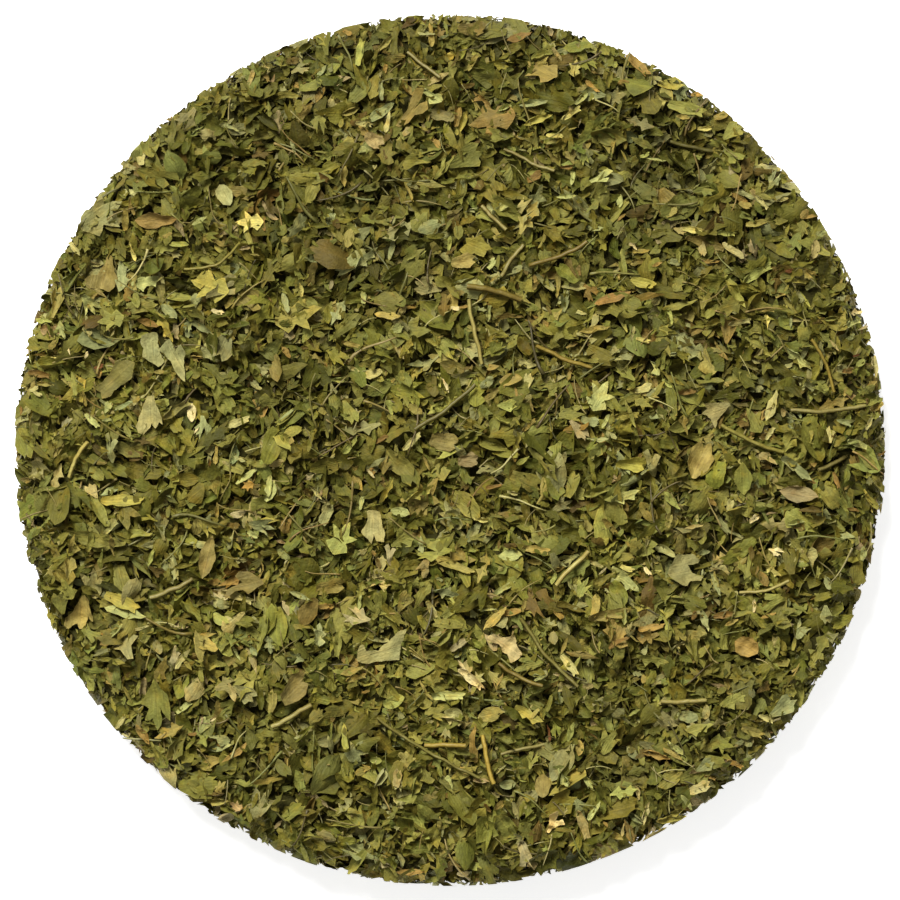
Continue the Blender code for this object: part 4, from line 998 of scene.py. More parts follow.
# %% Filling the heap
MOUND_RADIUS = HEAP_RADIUS - 2.4 * MM
FOOT_LEVEL = 1.3 * MM
WALL_TOP = 7.5 * MM
EDGE_ROOM = 0.05 * MM
OVERHANG = 1.6 * MM
FLOOR_ROOM = 0.04 * MM
LOOSE_ROOM = 0.05 * MM

# Rounds: group, draws, middle length, its spread, longest (mm), lean (slope), dip, room to the level (mm).
WALL_ROUNDS = [
    ("coarse", 1500, 4.2, 0.25, 6.0, 0.25, 0.20, 0.9),
    ("fine", 2200, 3.7, 0.30, 6.5, 0.18, 0.06, 0.05),
]
TOP_ROUNDS = [
    ("coarse", 3600, 5.0, 0.25, 7.5, 0.25, 0.22, 1.30),
    ("coarse", 4800, 2.4, 0.36, 4.4, 0.80, 0.15, 0.60),
    ("twigs", 420, 5.0, 0.35, 9.0, 0.20, 0.15, 0.30),
    ("fine", 4800, 4.0, 0.36, 8.0, 0.30, 0.10, -0.05),
    ("coarse", 2600, 2.1, 0.28, 3.4, 0.45, 0.10, 0.00),
    ("twigs", 300, 4.6, 0.35, 9.0, 0.12, 0.12, -0.60),
]
FOOT_ROUNDS = [("coarse", 2000, 5.2, 0.25, 7.5, 0.10, 0.20, 0.3)]

mound_level = np.maximum(fill_level - LAYER, FOOT_LEVEL)
mound_level[distance > MOUND_RADIUS] = 0.0
heap_pile = Pile(mound_level.copy(), -GRID_HALF, -GRID_HALF)
wall_columns = int(math.tau * HEAP_RADIUS / CELL)
wall_pile = Pile(np.full((int(WALL_TOP / CELL), wall_columns), MOUND_RADIUS), 0.0, 0.0, wraps=True)
foot_pile = Pile(np.full((GRID_SIDE, GRID_SIDE), -FOOT_LEVEL), -GRID_HALF, -GRID_HALF)


def wall_reach(height):
    """How far out the heap reaches at a height: the rim's formula turned round."""
    share = np.clip(height / TOP_LEVEL, 0.0, 1.0) ** (1.0 / SHOULDER_POWER)
    return (HEAP_RADIUS - EDGE_ROOM) * (1.0 - share) ** (1.0 / RIM_POWER)


def disc_spot(rng, radius):
    """A spot drawn evenly over a disc."""
    away, angle = radius * math.sqrt(rng.random()), rng.uniform(0, math.tau)
    return away * math.cos(angle), away * math.sin(angle)


def top_face(x, y):
    return Matrix.Identity(3), Vector((x, y, 0.0))


def foot_face(x, y):
    return Matrix(((1, 0, 0), (0, -1, 0), (0, 0, -1))), Vector((x, -y, 0.0))


def wall_face(x, y):
    """The frame of a spot on the wall: along the rim, up, and outwards."""
    angle = x / HEAP_RADIUS
    along = Vector((-math.sin(angle), math.cos(angle), 0))
    out = Vector((math.cos(angle), math.sin(angle), 0))
    return Matrix((along, Vector((0, 0, 1)), out)).transposed(), Vector((0, 0, y))


def fill(pile, rounds, draw_spot, level_at, may_lie, face, rng):
    """Settled flakes on one face as rows: group, kind, place, turn, length, tint, points."""
    flakes = []
    for group, draws, middle, spread, longest, slope, dip, room in rounds:
        for _ in range(draws):
            x, y = draw_spot(rng)
            kind = rng.randrange(len(settle_points[group]))
            length = min(longest, middle * math.exp(rng.gauss(0, spread))) * MM
            lean = (rng.gauss(0, slope), rng.gauss(0, slope))
            points = settle_points[group][kind] * length
            turn, lying, height, before = settle(pile, points, x, y, rng.uniform(0, math.tau), lean, dip)
            if before > level_at(x, y) - room * MM or not may_lie(lying):
                continue
            pile.raise_to(lying[:, 0], lying[:, 1], lying[:, 2])
            axes, start = face(x, y)
            place = start + axes @ Vector((0, 0, height))
            world = (lying - (x, y, 0.0)) @ np.array(axes).T + start
            tints = TWIG_TINTS if group == "twigs" else TINTS
            tint = drawn_tint(tints, rng, place.x, place.y)
            flakes.append((group, kind, place, axes @ turn, length, tint, world))
    return flakes


def fill_wall(rng):
    def may_lie(lying):
        within = lying[:, 2].max() < HEAP_RADIUS - EDGE_ROOM
        return within and lying[:, 1].min() > FLOOR_ROOM

    def draw_spot(rng):
        return rng.uniform(0, math.tau * HEAP_RADIUS), rng.uniform(0.3 * MM, WALL_TOP)

    return fill(wall_pile, WALL_ROUNDS, draw_spot, lambda x, y: wall_reach(y), may_lie, wall_face, rng)


def fill_top(rng):
    def may_lie(lying):
        within = np.hypot(lying[:, 0], lying[:, 1]).max() < HEAP_RADIUS + OVERHANG
        below = lying[:, 2] < loose_floor[heap_pile.cells(lying[:, 0], lying[:, 1])] - LOOSE_ROOM
        return within and lying[:, 2].min() > OVERHANG + FLOOR_ROOM and below.all()

    def level_at(x, y):
        return fill_level[int((y + GRID_HALF) / CELL), int((x + GRID_HALF) / CELL)]

    def draw_spot(rng):
        return disc_spot(rng, HEAP_RADIUS - 0.3 * MM)

    return fill(heap_pile, TOP_ROUNDS, draw_spot, level_at, may_lie, top_face, rng)


def fill_foot(rng):
    def may_lie(lying):
        within = np.hypot(lying[:, 0], lying[:, 1]).max() < HEAP_RADIUS - 0.8 * MM
        return within and lying[:, 2].max() < -FLOOR_ROOM

    def draw_spot(rng):
        return disc_spot(rng, HEAP_RADIUS - 2 * MM)

    return fill(foot_pile, FOOT_ROUNDS, draw_spot, lambda x, y: 0.0, may_lie, foot_face, rng)


def lay_marked(rng):
    """The marked flakes, each settled at its own place on what lies there."""
    laid = []
    for key, places in MARKED_FLAKES.items():
        outline_kind, tint_name = key.split()
        for x, y, length, heading in places:
            if outline_kind == "twig":
                group, kind = "twigs", rng.randrange(TWIG_KINDS)
            else:
                group, kind = "fine", rng.randrange(MILD_CURLS)
                kind += SHAPE_NAMES.index(outline_kind) * len(CURLS)
            points = settle_points[group][kind] * length * MM
            turn, lying, height, _ = settle(heap_pile, points, x * MM, y * MM, math.radians(heading - 90),
                                            (0.0, 0.0), MARKED_DIP)
            above = loose_floor[heap_pile.cells(lying[:, 0], lying[:, 1])] - LOOSE_ROOM
            if (lying[:, 2] > above).any():
                continue
            heap_pile.raise_to(lying[:, 0], lying[:, 1], lying[:, 2])
            tint = np.array(MARKED_TINTS[tint_name]) * math.exp(rng.gauss(0, MARKED_SPREAD))
            laid.append((group, kind, Vector((x * MM, y * MM, height)), turn, length * MM, tint, lying))
    return laid


wall_flakes = fill_wall(random.Random(HEAP_SEED))
for *_, world in wall_flakes:
    heap_pile.raise_to(world[:, 0], world[:, 1], world[:, 2])
top_flakes = fill_top(random.Random(HEAP_SEED + 1))
marked_flakes = lay_marked(random.Random(HEAP_SEED + 3))
top_flakes += marked_flakes
foot_flakes = fill_foot(random.Random(HEAP_SEED + 2))
print(len(wall_flakes), "flakes on the wall,", len(top_flakes), "on top and", len(foot_flakes), "underneath")
missing = (fill_level - heap_pile.heights)[distance < 0.9 * HEAP_RADIUS] / MM
print(len(marked_flakes), "marked flakes of", sum(len(places) for places in MARKED_FLAKES.values()))
print("the top is short of its level by", round(float(missing.mean()), 2), "mm on average")

# %% [markdown]
# ## Materials by node
#
# Dried leaf is matt, and never one flat colour. Each finish starts from a flake's own tint or a base colour,
# then mottles it, draws the midrib and side veins from the leaf's UV map, paints a highlight along the rim,
# pales the underside and adds fine specks. The bump follows the same veins and specks.

# %% Helper for shader trees


def new_node(tree, kind, inputs=None, **settings):
    """A node with its settings made and its inputs linked or filled in."""
    made = tree.nodes.new(kind)
    for name, value in settings.items():
        setattr(made, name, value)
    for name, value in (inputs or {}).items():
        if isinstance(value, bpy.types.NodeSocket):
            tree.links.new(value, made.inputs[name])
        else:
            made.inputs[name].default_value = value
    return made


def maths(tree, operation, first, second=0.0):
    return new_node(tree, "ShaderNodeMath", {0: first, 1: second}, operation=operation).outputs[0]


def noise(tree, place, scale, detail=2.0, roughness=0.5):
    settings = {"Vector": place, "Scale": scale, "Detail": detail, "Roughness": roughness}
    return new_node(tree, "ShaderNodeTexNoise", settings).outputs["Fac"]


def scaled(tree, amount, low, high):
    """Stretches the middle half of a noise to the range from low to high."""
    settings = {"Value": amount, "From Min": 0.25, "From Max": 0.75, "To Min": low, "To Max": high}
    return new_node(tree, "ShaderNodeMapRange", settings).outputs["Result"]


# A mix node has inputs for each kind of data. These are the share and the two colours.
COLOUR_MIX_INPUTS = (0, 6, 7)
COLOUR_MIX_OUTPUT = 2


def mixed(tree, share, first, second, blend="MIX"):
    inputs = dict(zip(COLOUR_MIX_INPUTS, (share, first, second)))
    made = new_node(tree, "ShaderNodeMix", inputs, data_type="RGBA", blend_type=blend)
    return made.outputs[COLOUR_MIX_OUTPUT]


def grey(tree, value):
    """A brightness as a colour, for multiplying."""
    return new_node(tree, "ShaderNodeCombineColor", {"Red": value, "Green": value, "Blue": value}).outputs[0]


def toned(tree, colour):
    """The colour made lighter or darker by the tone that a loose piece carries."""
    tone = new_node(tree, "ShaderNodeAttribute", attribute_name="tone").outputs["Fac"]
    return mixed(tree, 1.0, colour, grey(tree, tone), "MULTIPLY")


def new_material(name, roughness, specular):
    material = bpy.data.materials.new(name)
    material.use_nodes = True
    shader = material.node_tree.nodes["Principled BSDF"]
    shader.inputs["Roughness"].default_value = roughness
    shader.inputs["Specular IOR Level"].default_value = specular
    return material, material.node_tree, shader


def add_bump(tree, shader, height, strength, distance):
    settings = {"Height": height, "Strength": strength, "Distance": distance}
    bump = new_node(tree, "ShaderNodeBump", settings)
    tree.links.new(bump.outputs["Normal"], shader.inputs["Normal"])


print("shader helpers ready")

# %% The leaf finish
LEAF_ROUGHNESS = 0.62
LEAF_GLOSS = 0.22
# Each tint moves the streaks by its own amount, and they are thin across the leaf and long along it.
TINT_SHIFT = (70.0, 70.0, 70.0)
STREAK_STRETCH = (22.0, 2.4, 1.0)
DRY_SHARE = 0.8
# The midrib's half width, and how many side veins there are, how wide and how strong.
MIDRIB_HALF = 0.016
SIDE_VEINS = 6.0
SIDE_VEIN_WIDTH = 0.10
SIDE_VEIN_SHARE = 0.4
# Veins are lighter than the leaf, a painted highlight lightens the rim by the same amount, and the underside
# is paler and greyer.
RIM_HIGHLIGHT_START = 0.86
RIM_HIGHLIGHT_SHARE = 0.9
VEIN_AND_RIM_HIGHLIGHT = (1.6, 1.5, 1.5, 1)
UNDERSIDE_LIGHT = (1.20, 1.22, 1.45, 1)


def leaf_finish(name, base=None, withered=(1.32, 1.10, 0.80), vein_and_highlight_strength=0.34, mottle=0.24):
    """Dried leaf. Without a base colour it takes the tint that each flake carries."""
    material, tree, shader = new_material(name, LEAF_ROUGHNESS, LEAF_GLOSS)
    place = new_node(tree, "ShaderNodeTexCoord").outputs["Object"]
    leaf_place = new_node(tree, "ShaderNodeUVMap", uv_map="leaf").outputs["UV"]
    tint = new_node(tree, "ShaderNodeAttribute", attribute_name="tint").outputs["Color"]
    colour = tint
    if base is not None:
        warm = tuple(part * factor for part, factor in zip(base, (1.15, 1.0, 0.80)))
        colour = mixed(tree, scaled(tree, noise(tree, place, 260), 0, 1), (*base, 1), (*warm, 1))
        colour = toned(tree, colour)

    # The map's place is stretched along the leaf and moved by the tint, so each flake has its own streaks.
    moved = new_node(tree, "ShaderNodeVectorMath", {0: tint, 1: TINT_SHIFT, 2: leaf_place},
                     operation="MULTIPLY_ADD").outputs[0]
    stretched = new_node(tree, "ShaderNodeVectorMath", {0: moved, 1: STREAK_STRETCH},
                         operation="MULTIPLY").outputs[0]
    dry_share = scaled(tree, noise(tree, moved, 2.2, 2.0), -0.9, 1.0)
    dry_share = new_node(tree, "ShaderNodeClamp", {"Value": dry_share}).outputs[0]
    dry = mixed(tree, 1.0, colour, (*withered, 1), "MULTIPLY")
    colour = mixed(tree, maths(tree, "MULTIPLY", dry_share, DRY_SHARE), colour, dry)

    # Midrib and side veins: the midrib runs along the middle of the map.
    leaf_map = new_node(tree, "ShaderNodeSeparateXYZ", {"Vector": leaf_place}).outputs
    aside = maths(tree, "ABSOLUTE", maths(tree, "SUBTRACT", leaf_map["X"], 0.5))
    midrib = maths(tree, "LESS_THAN", aside, MIDRIB_HALF)
    upwards = maths(tree, "MULTIPLY", leaf_map["Y"], SIDE_VEINS)
    herring = maths(tree, "ADD", upwards, maths(tree, "MULTIPLY", aside, -SIDE_VEINS))
    side_vein = maths(tree, "LESS_THAN", maths(tree, "FRACT", herring), SIDE_VEIN_WIDTH)
    vein = maths(tree, "MAXIMUM", midrib, maths(tree, "MULTIPLY", side_vein, SIDE_VEIN_SHARE))
    # A painted highlight lightens each flake near its rim, where "edge" is high, by the same lightening as
    # the veins.
    edge = new_node(tree, "ShaderNodeAttribute", attribute_name="edge").outputs["Fac"]
    rim = maths(tree, "GREATER_THAN", edge, RIM_HIGHLIGHT_START)
    lighter = mixed(tree, 1.0, colour, VEIN_AND_RIM_HIGHLIGHT, "MULTIPLY")
    veins_and_rim_highlight = maths(tree, "MAXIMUM", vein, maths(tree, "MULTIPLY", rim, RIM_HIGHLIGHT_SHARE))
    light_share = maths(tree, "MULTIPLY", veins_and_rim_highlight, vein_and_highlight_strength)
    colour = mixed(tree, light_share, colour, lighter)

    streaked = scaled(tree, noise(tree, stretched, 1.0, 3.0), 0.74, 1.24)
    mottled = scaled(tree, noise(tree, place, 900, 4.0, 0.6), 1 - mottle, 1 + mottle)
    colour = mixed(tree, 1.0, colour, grey(tree, maths(tree, "MULTIPLY", mottled, streaked)), "MULTIPLY")

    under = new_node(tree, "ShaderNodeAttribute", attribute_name="underside").outputs["Fac"]
    pale = mixed(tree, 1.0, colour, UNDERSIDE_LIGHT, "MULTIPLY")
    colour = mixed(tree, under, colour, pale)
    tree.links.new(colour, shader.inputs["Base Color"])

    grain = maths(tree, "ADD", noise(tree, place, 2400, 3.0, 0.6), maths(tree, "MULTIPLY", vein, 0.5))
    grain = maths(tree, "ADD", grain, maths(tree, "MULTIPLY", streaked, 0.8))
    add_bump(tree, shader, grain, 0.8, 0.00024)
    return material


def twig_finish(name, base=None):
    """Dried stalk: fine streaks, a few darker spots, a little glossier than leaf."""
    material, tree, shader = new_material(name, 0.5, 0.4)
    place = new_node(tree, "ShaderNodeTexCoord").outputs["Object"]
    if base is None:
        colour = new_node(tree, "ShaderNodeAttribute", attribute_name="tint").outputs["Color"]
    else:
        dark = tuple(part * factor for part, factor in zip(base, (0.72, 0.64, 0.50)))
        colour = mixed(tree, scaled(tree, noise(tree, place, 350, 3.0), 0, 1), (*base, 1), (*dark, 1))
        colour = toned(tree, colour)
    streaks = scaled(tree, noise(tree, place, 2600, 3.0, 0.6), 0.72, 1.22)
    colour = mixed(tree, 1.0, colour, grey(tree, streaks), "MULTIPLY")
    tree.links.new(colour, shader.inputs["Base Color"])
    add_bump(tree, shader, noise(tree, place, 3000), 0.4, 0.0001)
    return material


def dust_and_shade_finish(name):
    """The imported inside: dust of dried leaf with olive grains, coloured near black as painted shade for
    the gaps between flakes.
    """
    material, tree, shader = new_material(name, 0.85, 0.15)
    place = new_node(tree, "ShaderNodeTexCoord").outputs["Object"]
    grains = scaled(tree, noise(tree, place, 1500, 5.0, 0.7), 0, 1)
    # Near-black dust: painted shade for the gaps between the flakes, where the inside shows through.
    colour = mixed(tree, grains, (0.022, 0.018, 0.003, 1), (0.070, 0.064, 0.012, 1))
    tree.links.new(colour, shader.inputs["Base Color"])
    add_bump(tree, shader, grains, 0.8, 0.0004)
    return material


flake_material = leaf_finish("rubbed leaf")
twig_material = twig_finish("leaf stalk")
dust_and_shade_material = dust_and_shade_finish("leaf dust")
LEAF_FINISHES = {
    "green": leaf_finish("fresh green leaf", (0.185, 0.190, 0.037)),
    "olive": leaf_finish("olive leaf", (0.155, 0.143, 0.036)),
    "pale": leaf_finish("pale green leaf", (0.290, 0.292, 0.113), (0.94, 0.94, 0.88)),
    "grey": leaf_finish("grey-green leaf", (0.275, 0.266, 0.102), (0.94, 0.94, 0.88)),
    "ivory": leaf_finish("ivory leaf", (0.310, 0.284, 0.104), (0.86, 0.84, 0.76)),
    "yellow": leaf_finish("golden leaf", (0.215, 0.196, 0.031), (1.05, 0.95, 0.8)),
    "tan": leaf_finish("tan leaf", (0.242, 0.200, 0.055), (0.66, 0.58, 0.46)),
    "cream": leaf_finish("cream leaf", (0.440, 0.358, 0.145), (0.60, 0.48, 0.34)),
    "brown": leaf_finish("brown leaf", (0.245, 0.172, 0.044), (1.15, 1.15, 1.1)),
}
STEM_MATERIALS = {
    "straw": twig_finish("straw stem", (0.380, 0.325, 0.088)),
    "gold": twig_finish("golden stem", (0.305, 0.225, 0.036)),
    "green": twig_finish("green-brown stem", (0.200, 0.176, 0.033)),
}
print(len(LEAF_FINISHES) + len(STEM_MATERIALS) + 3, "finishes")

# %% [markdown]
# ## Laying the flakes with Geometry Nodes
#
# Each flake is one point that carries its kind, turn, length and tint. The tree picks the mesh of that
# kind from a collection, turns and sizes it on the point, and makes one real mesh of them all. A little
# noise then bends every flake its own way, so no two of a kind stay the same.

# %% The tree that lays flakes
LAYING_SIZES = {
    "Size": 1.0,
    "Unevenness": 0.25 * MM,
    "Unevenness Scale": 420.0,
    "Heap Radius": HEAP_RADIUS - EDGE_ROOM,
}


def noise_shift(tree, waves, amount):
    """A push every way that follows a noise with these settings, half the amount at most."""
    colour = new_node(tree, "ShaderNodeTexNoise", waves).outputs["Color"]
    centred = new_node(tree, "ShaderNodeVectorMath", {0: colour, 1: (0.5, 0.5, 0.5)}, operation="SUBTRACT")
    shift = new_node(tree, "ShaderNodeVectorMath", {0: centred.outputs[0], "Scale": amount},
                     operation="SCALE")
    return shift.outputs["Vector"]


def laying_tree():
    tree = bpy.data.node_groups.new("lay flakes", "GeometryNodeTree")
    tree.interface.new_socket("Points", in_out="INPUT", socket_type="NodeSocketGeometry")
    tree.interface.new_socket("Kinds", in_out="INPUT", socket_type="NodeSocketCollection")
    for name, value in LAYING_SIZES.items():
        tree.interface.new_socket(name, in_out="INPUT", socket_type="NodeSocketFloat").default_value = value
    tree.interface.new_socket("Finish", in_out="INPUT", socket_type="NodeSocketMaterial")
    tree.interface.new_socket("Flakes", in_out="OUTPUT", socket_type="NodeSocketGeometry")
    given = tree.nodes.new("NodeGroupInput").outputs

    def carried(name, kind):
        return new_node(tree, "GeometryNodeInputNamedAttribute", {"Name": name}, data_type=kind).outputs[0]

    kinds = new_node(tree, "GeometryNodeCollectionInfo", {
        "Collection": given["Kinds"], "Separate Children": True, "Reset Children": True})
    turn = new_node(tree, "FunctionNodeEulerToRotation", {"Euler": carried("turn", "FLOAT_VECTOR")})
    size = maths(tree, "MULTIPLY", carried("length", "FLOAT"), given["Size"])
    laid = new_node(tree, "GeometryNodeInstanceOnPoints", {
        "Points": given["Points"], "Instance": kinds.outputs["Instances"], "Pick Instance": True,
        "Instance Index": carried("kind", "INT"), "Rotation": turn.outputs["Rotation"], "Scale": size})
    real = new_node(tree, "GeometryNodeRealizeInstances", {"Geometry": laid.outputs["Instances"]})
    waves = {"Scale": given["Unevenness Scale"], "Detail": 1.0}
    bent = new_node(tree, "GeometryNodeSetPosition", {
        "Geometry": real.outputs["Geometry"], "Offset": noise_shift(tree, waves, given["Unevenness"])})

    # What hangs over the rim folds down along the wall: as far down as it reached out.
    place = new_node(tree, "GeometryNodeInputPosition").outputs["Position"]
    parts = new_node(tree, "ShaderNodeSeparateXYZ", {"Vector": place}).outputs
    flat_place = new_node(tree, "ShaderNodeVectorMath", {0: place, 1: (1.0, 1.0, 0.0)}, operation="MULTIPLY")
    length = new_node(tree, "ShaderNodeVectorMath", {0: flat_place.outputs[0]}, operation="LENGTH")
    away = length.outputs["Value"]
    over = maths(tree, "MAXIMUM", maths(tree, "SUBTRACT", away, given["Heap Radius"]), 0.0)
    share = maths(tree, "SUBTRACT", 1.0, maths(tree, "DIVIDE", over, away))
    folded_place = new_node(tree, "ShaderNodeCombineXYZ", {
        "X": maths(tree, "MULTIPLY", parts["X"], share), "Y": maths(tree, "MULTIPLY", parts["Y"], share),
        "Z": maths(tree, "SUBTRACT", parts["Z"], over)})
    folded = new_node(tree, "GeometryNodeSetPosition", {
        "Geometry": bent.outputs["Geometry"], "Position": folded_place.outputs["Vector"]})
    finished = new_node(tree, "GeometryNodeSetMaterial", {
        "Geometry": folded.outputs["Geometry"], "Material": given["Finish"]})
    tree.nodes.new("NodeGroupOutput")
    tree.links.new(finished.outputs["Geometry"], tree.nodes["Group Output"].inputs["Flakes"])
    return tree


def socket_id(tree, name):
    return next(item.identifier for item in tree.interface.items_tree if item.name == name)


def made_real(piece):
    """Turns the piece's modifier result into its plain mesh and takes the modifier off."""
    evaluated = piece.evaluated_get(bpy.context.evaluated_depsgraph_get())
    mesh = bpy.data.meshes.new_from_object(evaluated)
    piece.modifiers.clear()
    piece.data = mesh
    mesh.name = piece.name
    return piece


def laid_flakes(name, flakes, kinds, material):
    """One piece of all the given flakes, from points that carry what the tree reads."""
    points = bpy.data.meshes.new(name + " points")
    points.from_pydata([place for _, _, place, *_ in flakes], [], [])
    turns = [turn.to_euler() for _, _, _, turn, *_ in flakes]
    tints = [(*tint, 1.0) for *_, tint, _ in flakes]
    columns = (
        ("kind", "INT", "value", [kind for _, kind, *_ in flakes]),
        ("turn", "FLOAT_VECTOR", "vector", turns),
        ("length", "FLOAT", "value", [length for *_, length, _, _ in flakes]),
        ("tint", "FLOAT_COLOR", "color", tints),
    )
    for attribute_name, kind, field, values in columns:
        attribute = points.attributes.new(attribute_name, kind, "POINT")
        attribute.data.foreach_set(field, np.array(values, dtype=float).ravel() if kind != "INT" else values)
    piece = new_piece(name, points)
    modifier = piece.modifiers.new("Lay flakes", "NODES")
    modifier.node_group = lay_flakes
    modifier[socket_id(lay_flakes, "Kinds")] = kinds
    for input_name, value in LAYING_SIZES.items():
        modifier[socket_id(lay_flakes, input_name)] = value
    modifier[socket_id(lay_flakes, "Finish")] = material
    return made_real(piece)


lay_flakes = laying_tree()
print("the tree has", len(lay_flakes.nodes), "nodes")

# %% [markdown]
# The flakes are split into pieces by group and by sector of the heap, so that each mesh stays a size
# that other tools can handle.

# %% Laying them all
SECTORS = 6


def sector_of(place):
    return int((math.atan2(place.y, place.x) / math.tau % 1.0) * SECTORS) % SECTORS


def triangles_of(piece):
    return sum(len(polygon.vertices) - 2 for polygon in piece.data.polygons)


heap_pieces = []
for sector in range(SECTORS):
    chosen = [flake for flake in wall_flakes + top_flakes
              if flake[0] == "fine" and sector_of(flake[2]) == sector]
    heap_pieces.append(laid_flakes(f"leaf_flakes_{sector + 1}", chosen, fine_flakes, flake_material))
for half in (0, 1):
    chosen = [flake for flake in wall_flakes + top_flakes
              if flake[0] == "coarse" and sector_of(flake[2]) % 2 == half]
    heap_pieces.append(laid_flakes(f"small_flakes_{half + 1}", chosen, coarse_flakes, flake_material))
heap_pieces.append(laid_flakes("underside_flakes", foot_flakes, coarse_flakes, flake_material))
stalk_flakes = [flake for flake in top_flakes if flake[0] == "twigs"]
heap_pieces.append(laid_flakes("leaf_stalks", stalk_flakes, twigs, twig_material))
for piece in heap_pieces:
    print(piece.name, triangles_of(piece), "triangles")

# %% [markdown]
# ## The imported inside
#
# Below the flakes lies dust and crumb of leaf, packed too close to see into. One closed body stands for it:
# rings of points at the height of the filled mound, a skirt of crumbs, and a flat foot. Its colour is near
# black, painted shade for the gaps between the flakes.

# %% The imported inside
INSIDE_RINGS = 44
INSIDE_SEGMENTS = 180
CRUMB_HEIGHT = 0.12 * MM
SKIRT_RADIUS = HEAP_RADIUS - 0.8 * MM
SKIRT_TOP = 6.5 * MM
SKIRT_FOOT = 2.2 * MM


def packed_inside():
    rng = random.Random(HEAP_SEED)
    shape = bmesh.new()
    row, column = heap_pile.cells(np.array([0.0]), np.array([0.0]))
    top_centre = shape.verts.new((0, 0, mound_level[row, column][0]))
    rings = []
    for ring in range(1, INSIDE_RINGS + 1):
        radius = (MOUND_RADIUS - CELL) * ring / INSIDE_RINGS
        made = []
        for segment in range(INSIDE_SEGMENTS):
            angle = math.tau * segment / INSIDE_SEGMENTS
            x, y = radius * math.cos(angle), radius * math.sin(angle)
            row, column = heap_pile.cells(np.array([x]), np.array([y]))
            made.append(shape.verts.new((x, y, mound_level[row, column][0] - rng.uniform(0, CRUMB_HEIGHT))))
        rings.append(made)
    # Crumbs gather along the foot, so no gap between the flakes of the wall shows the floor.
    edge = [v.co.copy() for v in rings[-1]]
    reach = SKIRT_RADIUS / (MOUND_RADIUS - CELL)
    for share, height in ((1.0, SKIRT_TOP), (reach, SKIRT_FOOT), (reach, FOOT_LEVEL)):
        rings.append([shape.verts.new((place.x * share, place.y * share, height)) for place in edge])
    foot_centre = shape.verts.new((0, 0, FOOT_LEVEL))
    for segment in range(INSIDE_SEGMENTS):
        after = (segment + 1) % INSIDE_SEGMENTS
        shape.faces.new([top_centre, rings[0][segment], rings[0][after]])
        shape.faces.new([foot_centre, rings[-1][after], rings[-1][segment]])
        for inner, outer in zip(rings, rings[1:]):
            shape.faces.new([inner[segment], outer[segment], outer[after], inner[after]])
    for face in shape.faces:
        face.smooth = True
    bmesh.ops.recalc_face_normals(shape, faces=shape.faces)
    mesh = bpy.data.meshes.new("packed_inside")
    shape.to_mesh(mesh)
    shape.free()
    mesh.materials.append(dust_and_shade_material)
    return new_piece("packed_inside", mesh)


heap_pieces.append(packed_inside())
print("packed inside", triangles_of(heap_pieces[-1]), "triangles")

# %% [markdown]
# ## The larger leaf pieces
#
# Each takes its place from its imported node. The direction in which the node's points spread least is the
# way the leaf faces, and the table above says which way its tip points. The curled sheet is then fitted
# to the node's box in that frame.

# %% The larger leaf pieces
LEAF_ROUNDS = 2
LEAF_SPACING = 0.065
LEAF_RIPPLE = 0.04
LEAF_CREASES = {"cream": 0.08, "tan": 0.05, "brown": 0.06}
FEW_CREASES = 0.02
LEAF_PUSH = (-0.06, 0.10)
LEAF_THICKNESS = 0.030


def leaf_frame(name, heading):
    """The node's middle, its axes across, along and facing, and its size in them."""
    points = node_points(name)
    spread = np.linalg.svd(points - points.mean(axis=0), full_matrices=False)[2]
    facing = Vector(spread[2] if spread[2][2] > 0 else -spread[2])
    along = Vector((math.cos(math.radians(heading)), math.sin(math.radians(heading)), 0))
    along = (along - facing * along.dot(facing)).normalized()
    axes = np.array([along.cross(facing), along, facing])
    local = points @ axes.T
    low, high = local.min(axis=0), local.max(axis=0)
    return (low + high) / 2 @ axes, axes, high - low


def leaf_piece(name):
    outline_kind, heading, curl, finish = LOOSE_LEAVES[name]
    rng = random.Random(name)
    middle, axes, size = leaf_frame(name, heading)
    outline = torn_outline(outline_kind, size[0] / size[1], LEAF_ROUNDS, LEAF_PUSH, rng)
    flat, triangles = filled_sheet(outline, LEAF_SPACING, rng)
    shade = OTHER_SHADES.get(name, finish)
    solid = curled(flat, *curl, LEAF_RIPPLE, LEAF_CREASES.get(shade, FEW_CREASES), rng)
    low, high = solid.min(axis=0), solid.max(axis=0)
    growth = (size[0] / (high[0] - low[0]), size[1] / (high[1] - low[1]), size[1])
    solid = (solid - (low + high) / 2) * growth
    mesh = closed_flake(name, flat, solid, triangles, LEAF_THICKNESS * size[1])
    mesh.transform(Matrix.Translation(middle) @ Matrix(axes.T).to_4x4())
    mesh.materials.append(LEAF_FINISHES[shade])
    piece = new_piece(name + "_leaf", mesh)
    give_tone(piece, name)
    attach(piece, "root")
    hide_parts(name)
    return piece


loose_leaves = [leaf_piece(name) for name in LOOSE_LEAVES]
print(len(loose_leaves), "larger leaf pieces of", sum(map(triangles_of, loose_leaves)), "triangles")

# %% [markdown]
# ## The stems
#
# A dried stalk is ribbed and seldom straight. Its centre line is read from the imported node: the middle
# of the node's points in slices along its length. A second tree runs a ribbed section along that line,
# thins it towards one end and closes both ends.

# %% The tree that makes a stem
STEM_SLICES = 7
STEM_RIBS = 6
STEM_STEPS = 36
STEM_SIZES = {
    "Radius": 0.4 * MM,
    "Rib Depth": 0.34,
    "Start": 1.0,
    "End": 0.8,
    "Kinks": 1.0 * MM,
    "Kink Scale": 260.0,
}


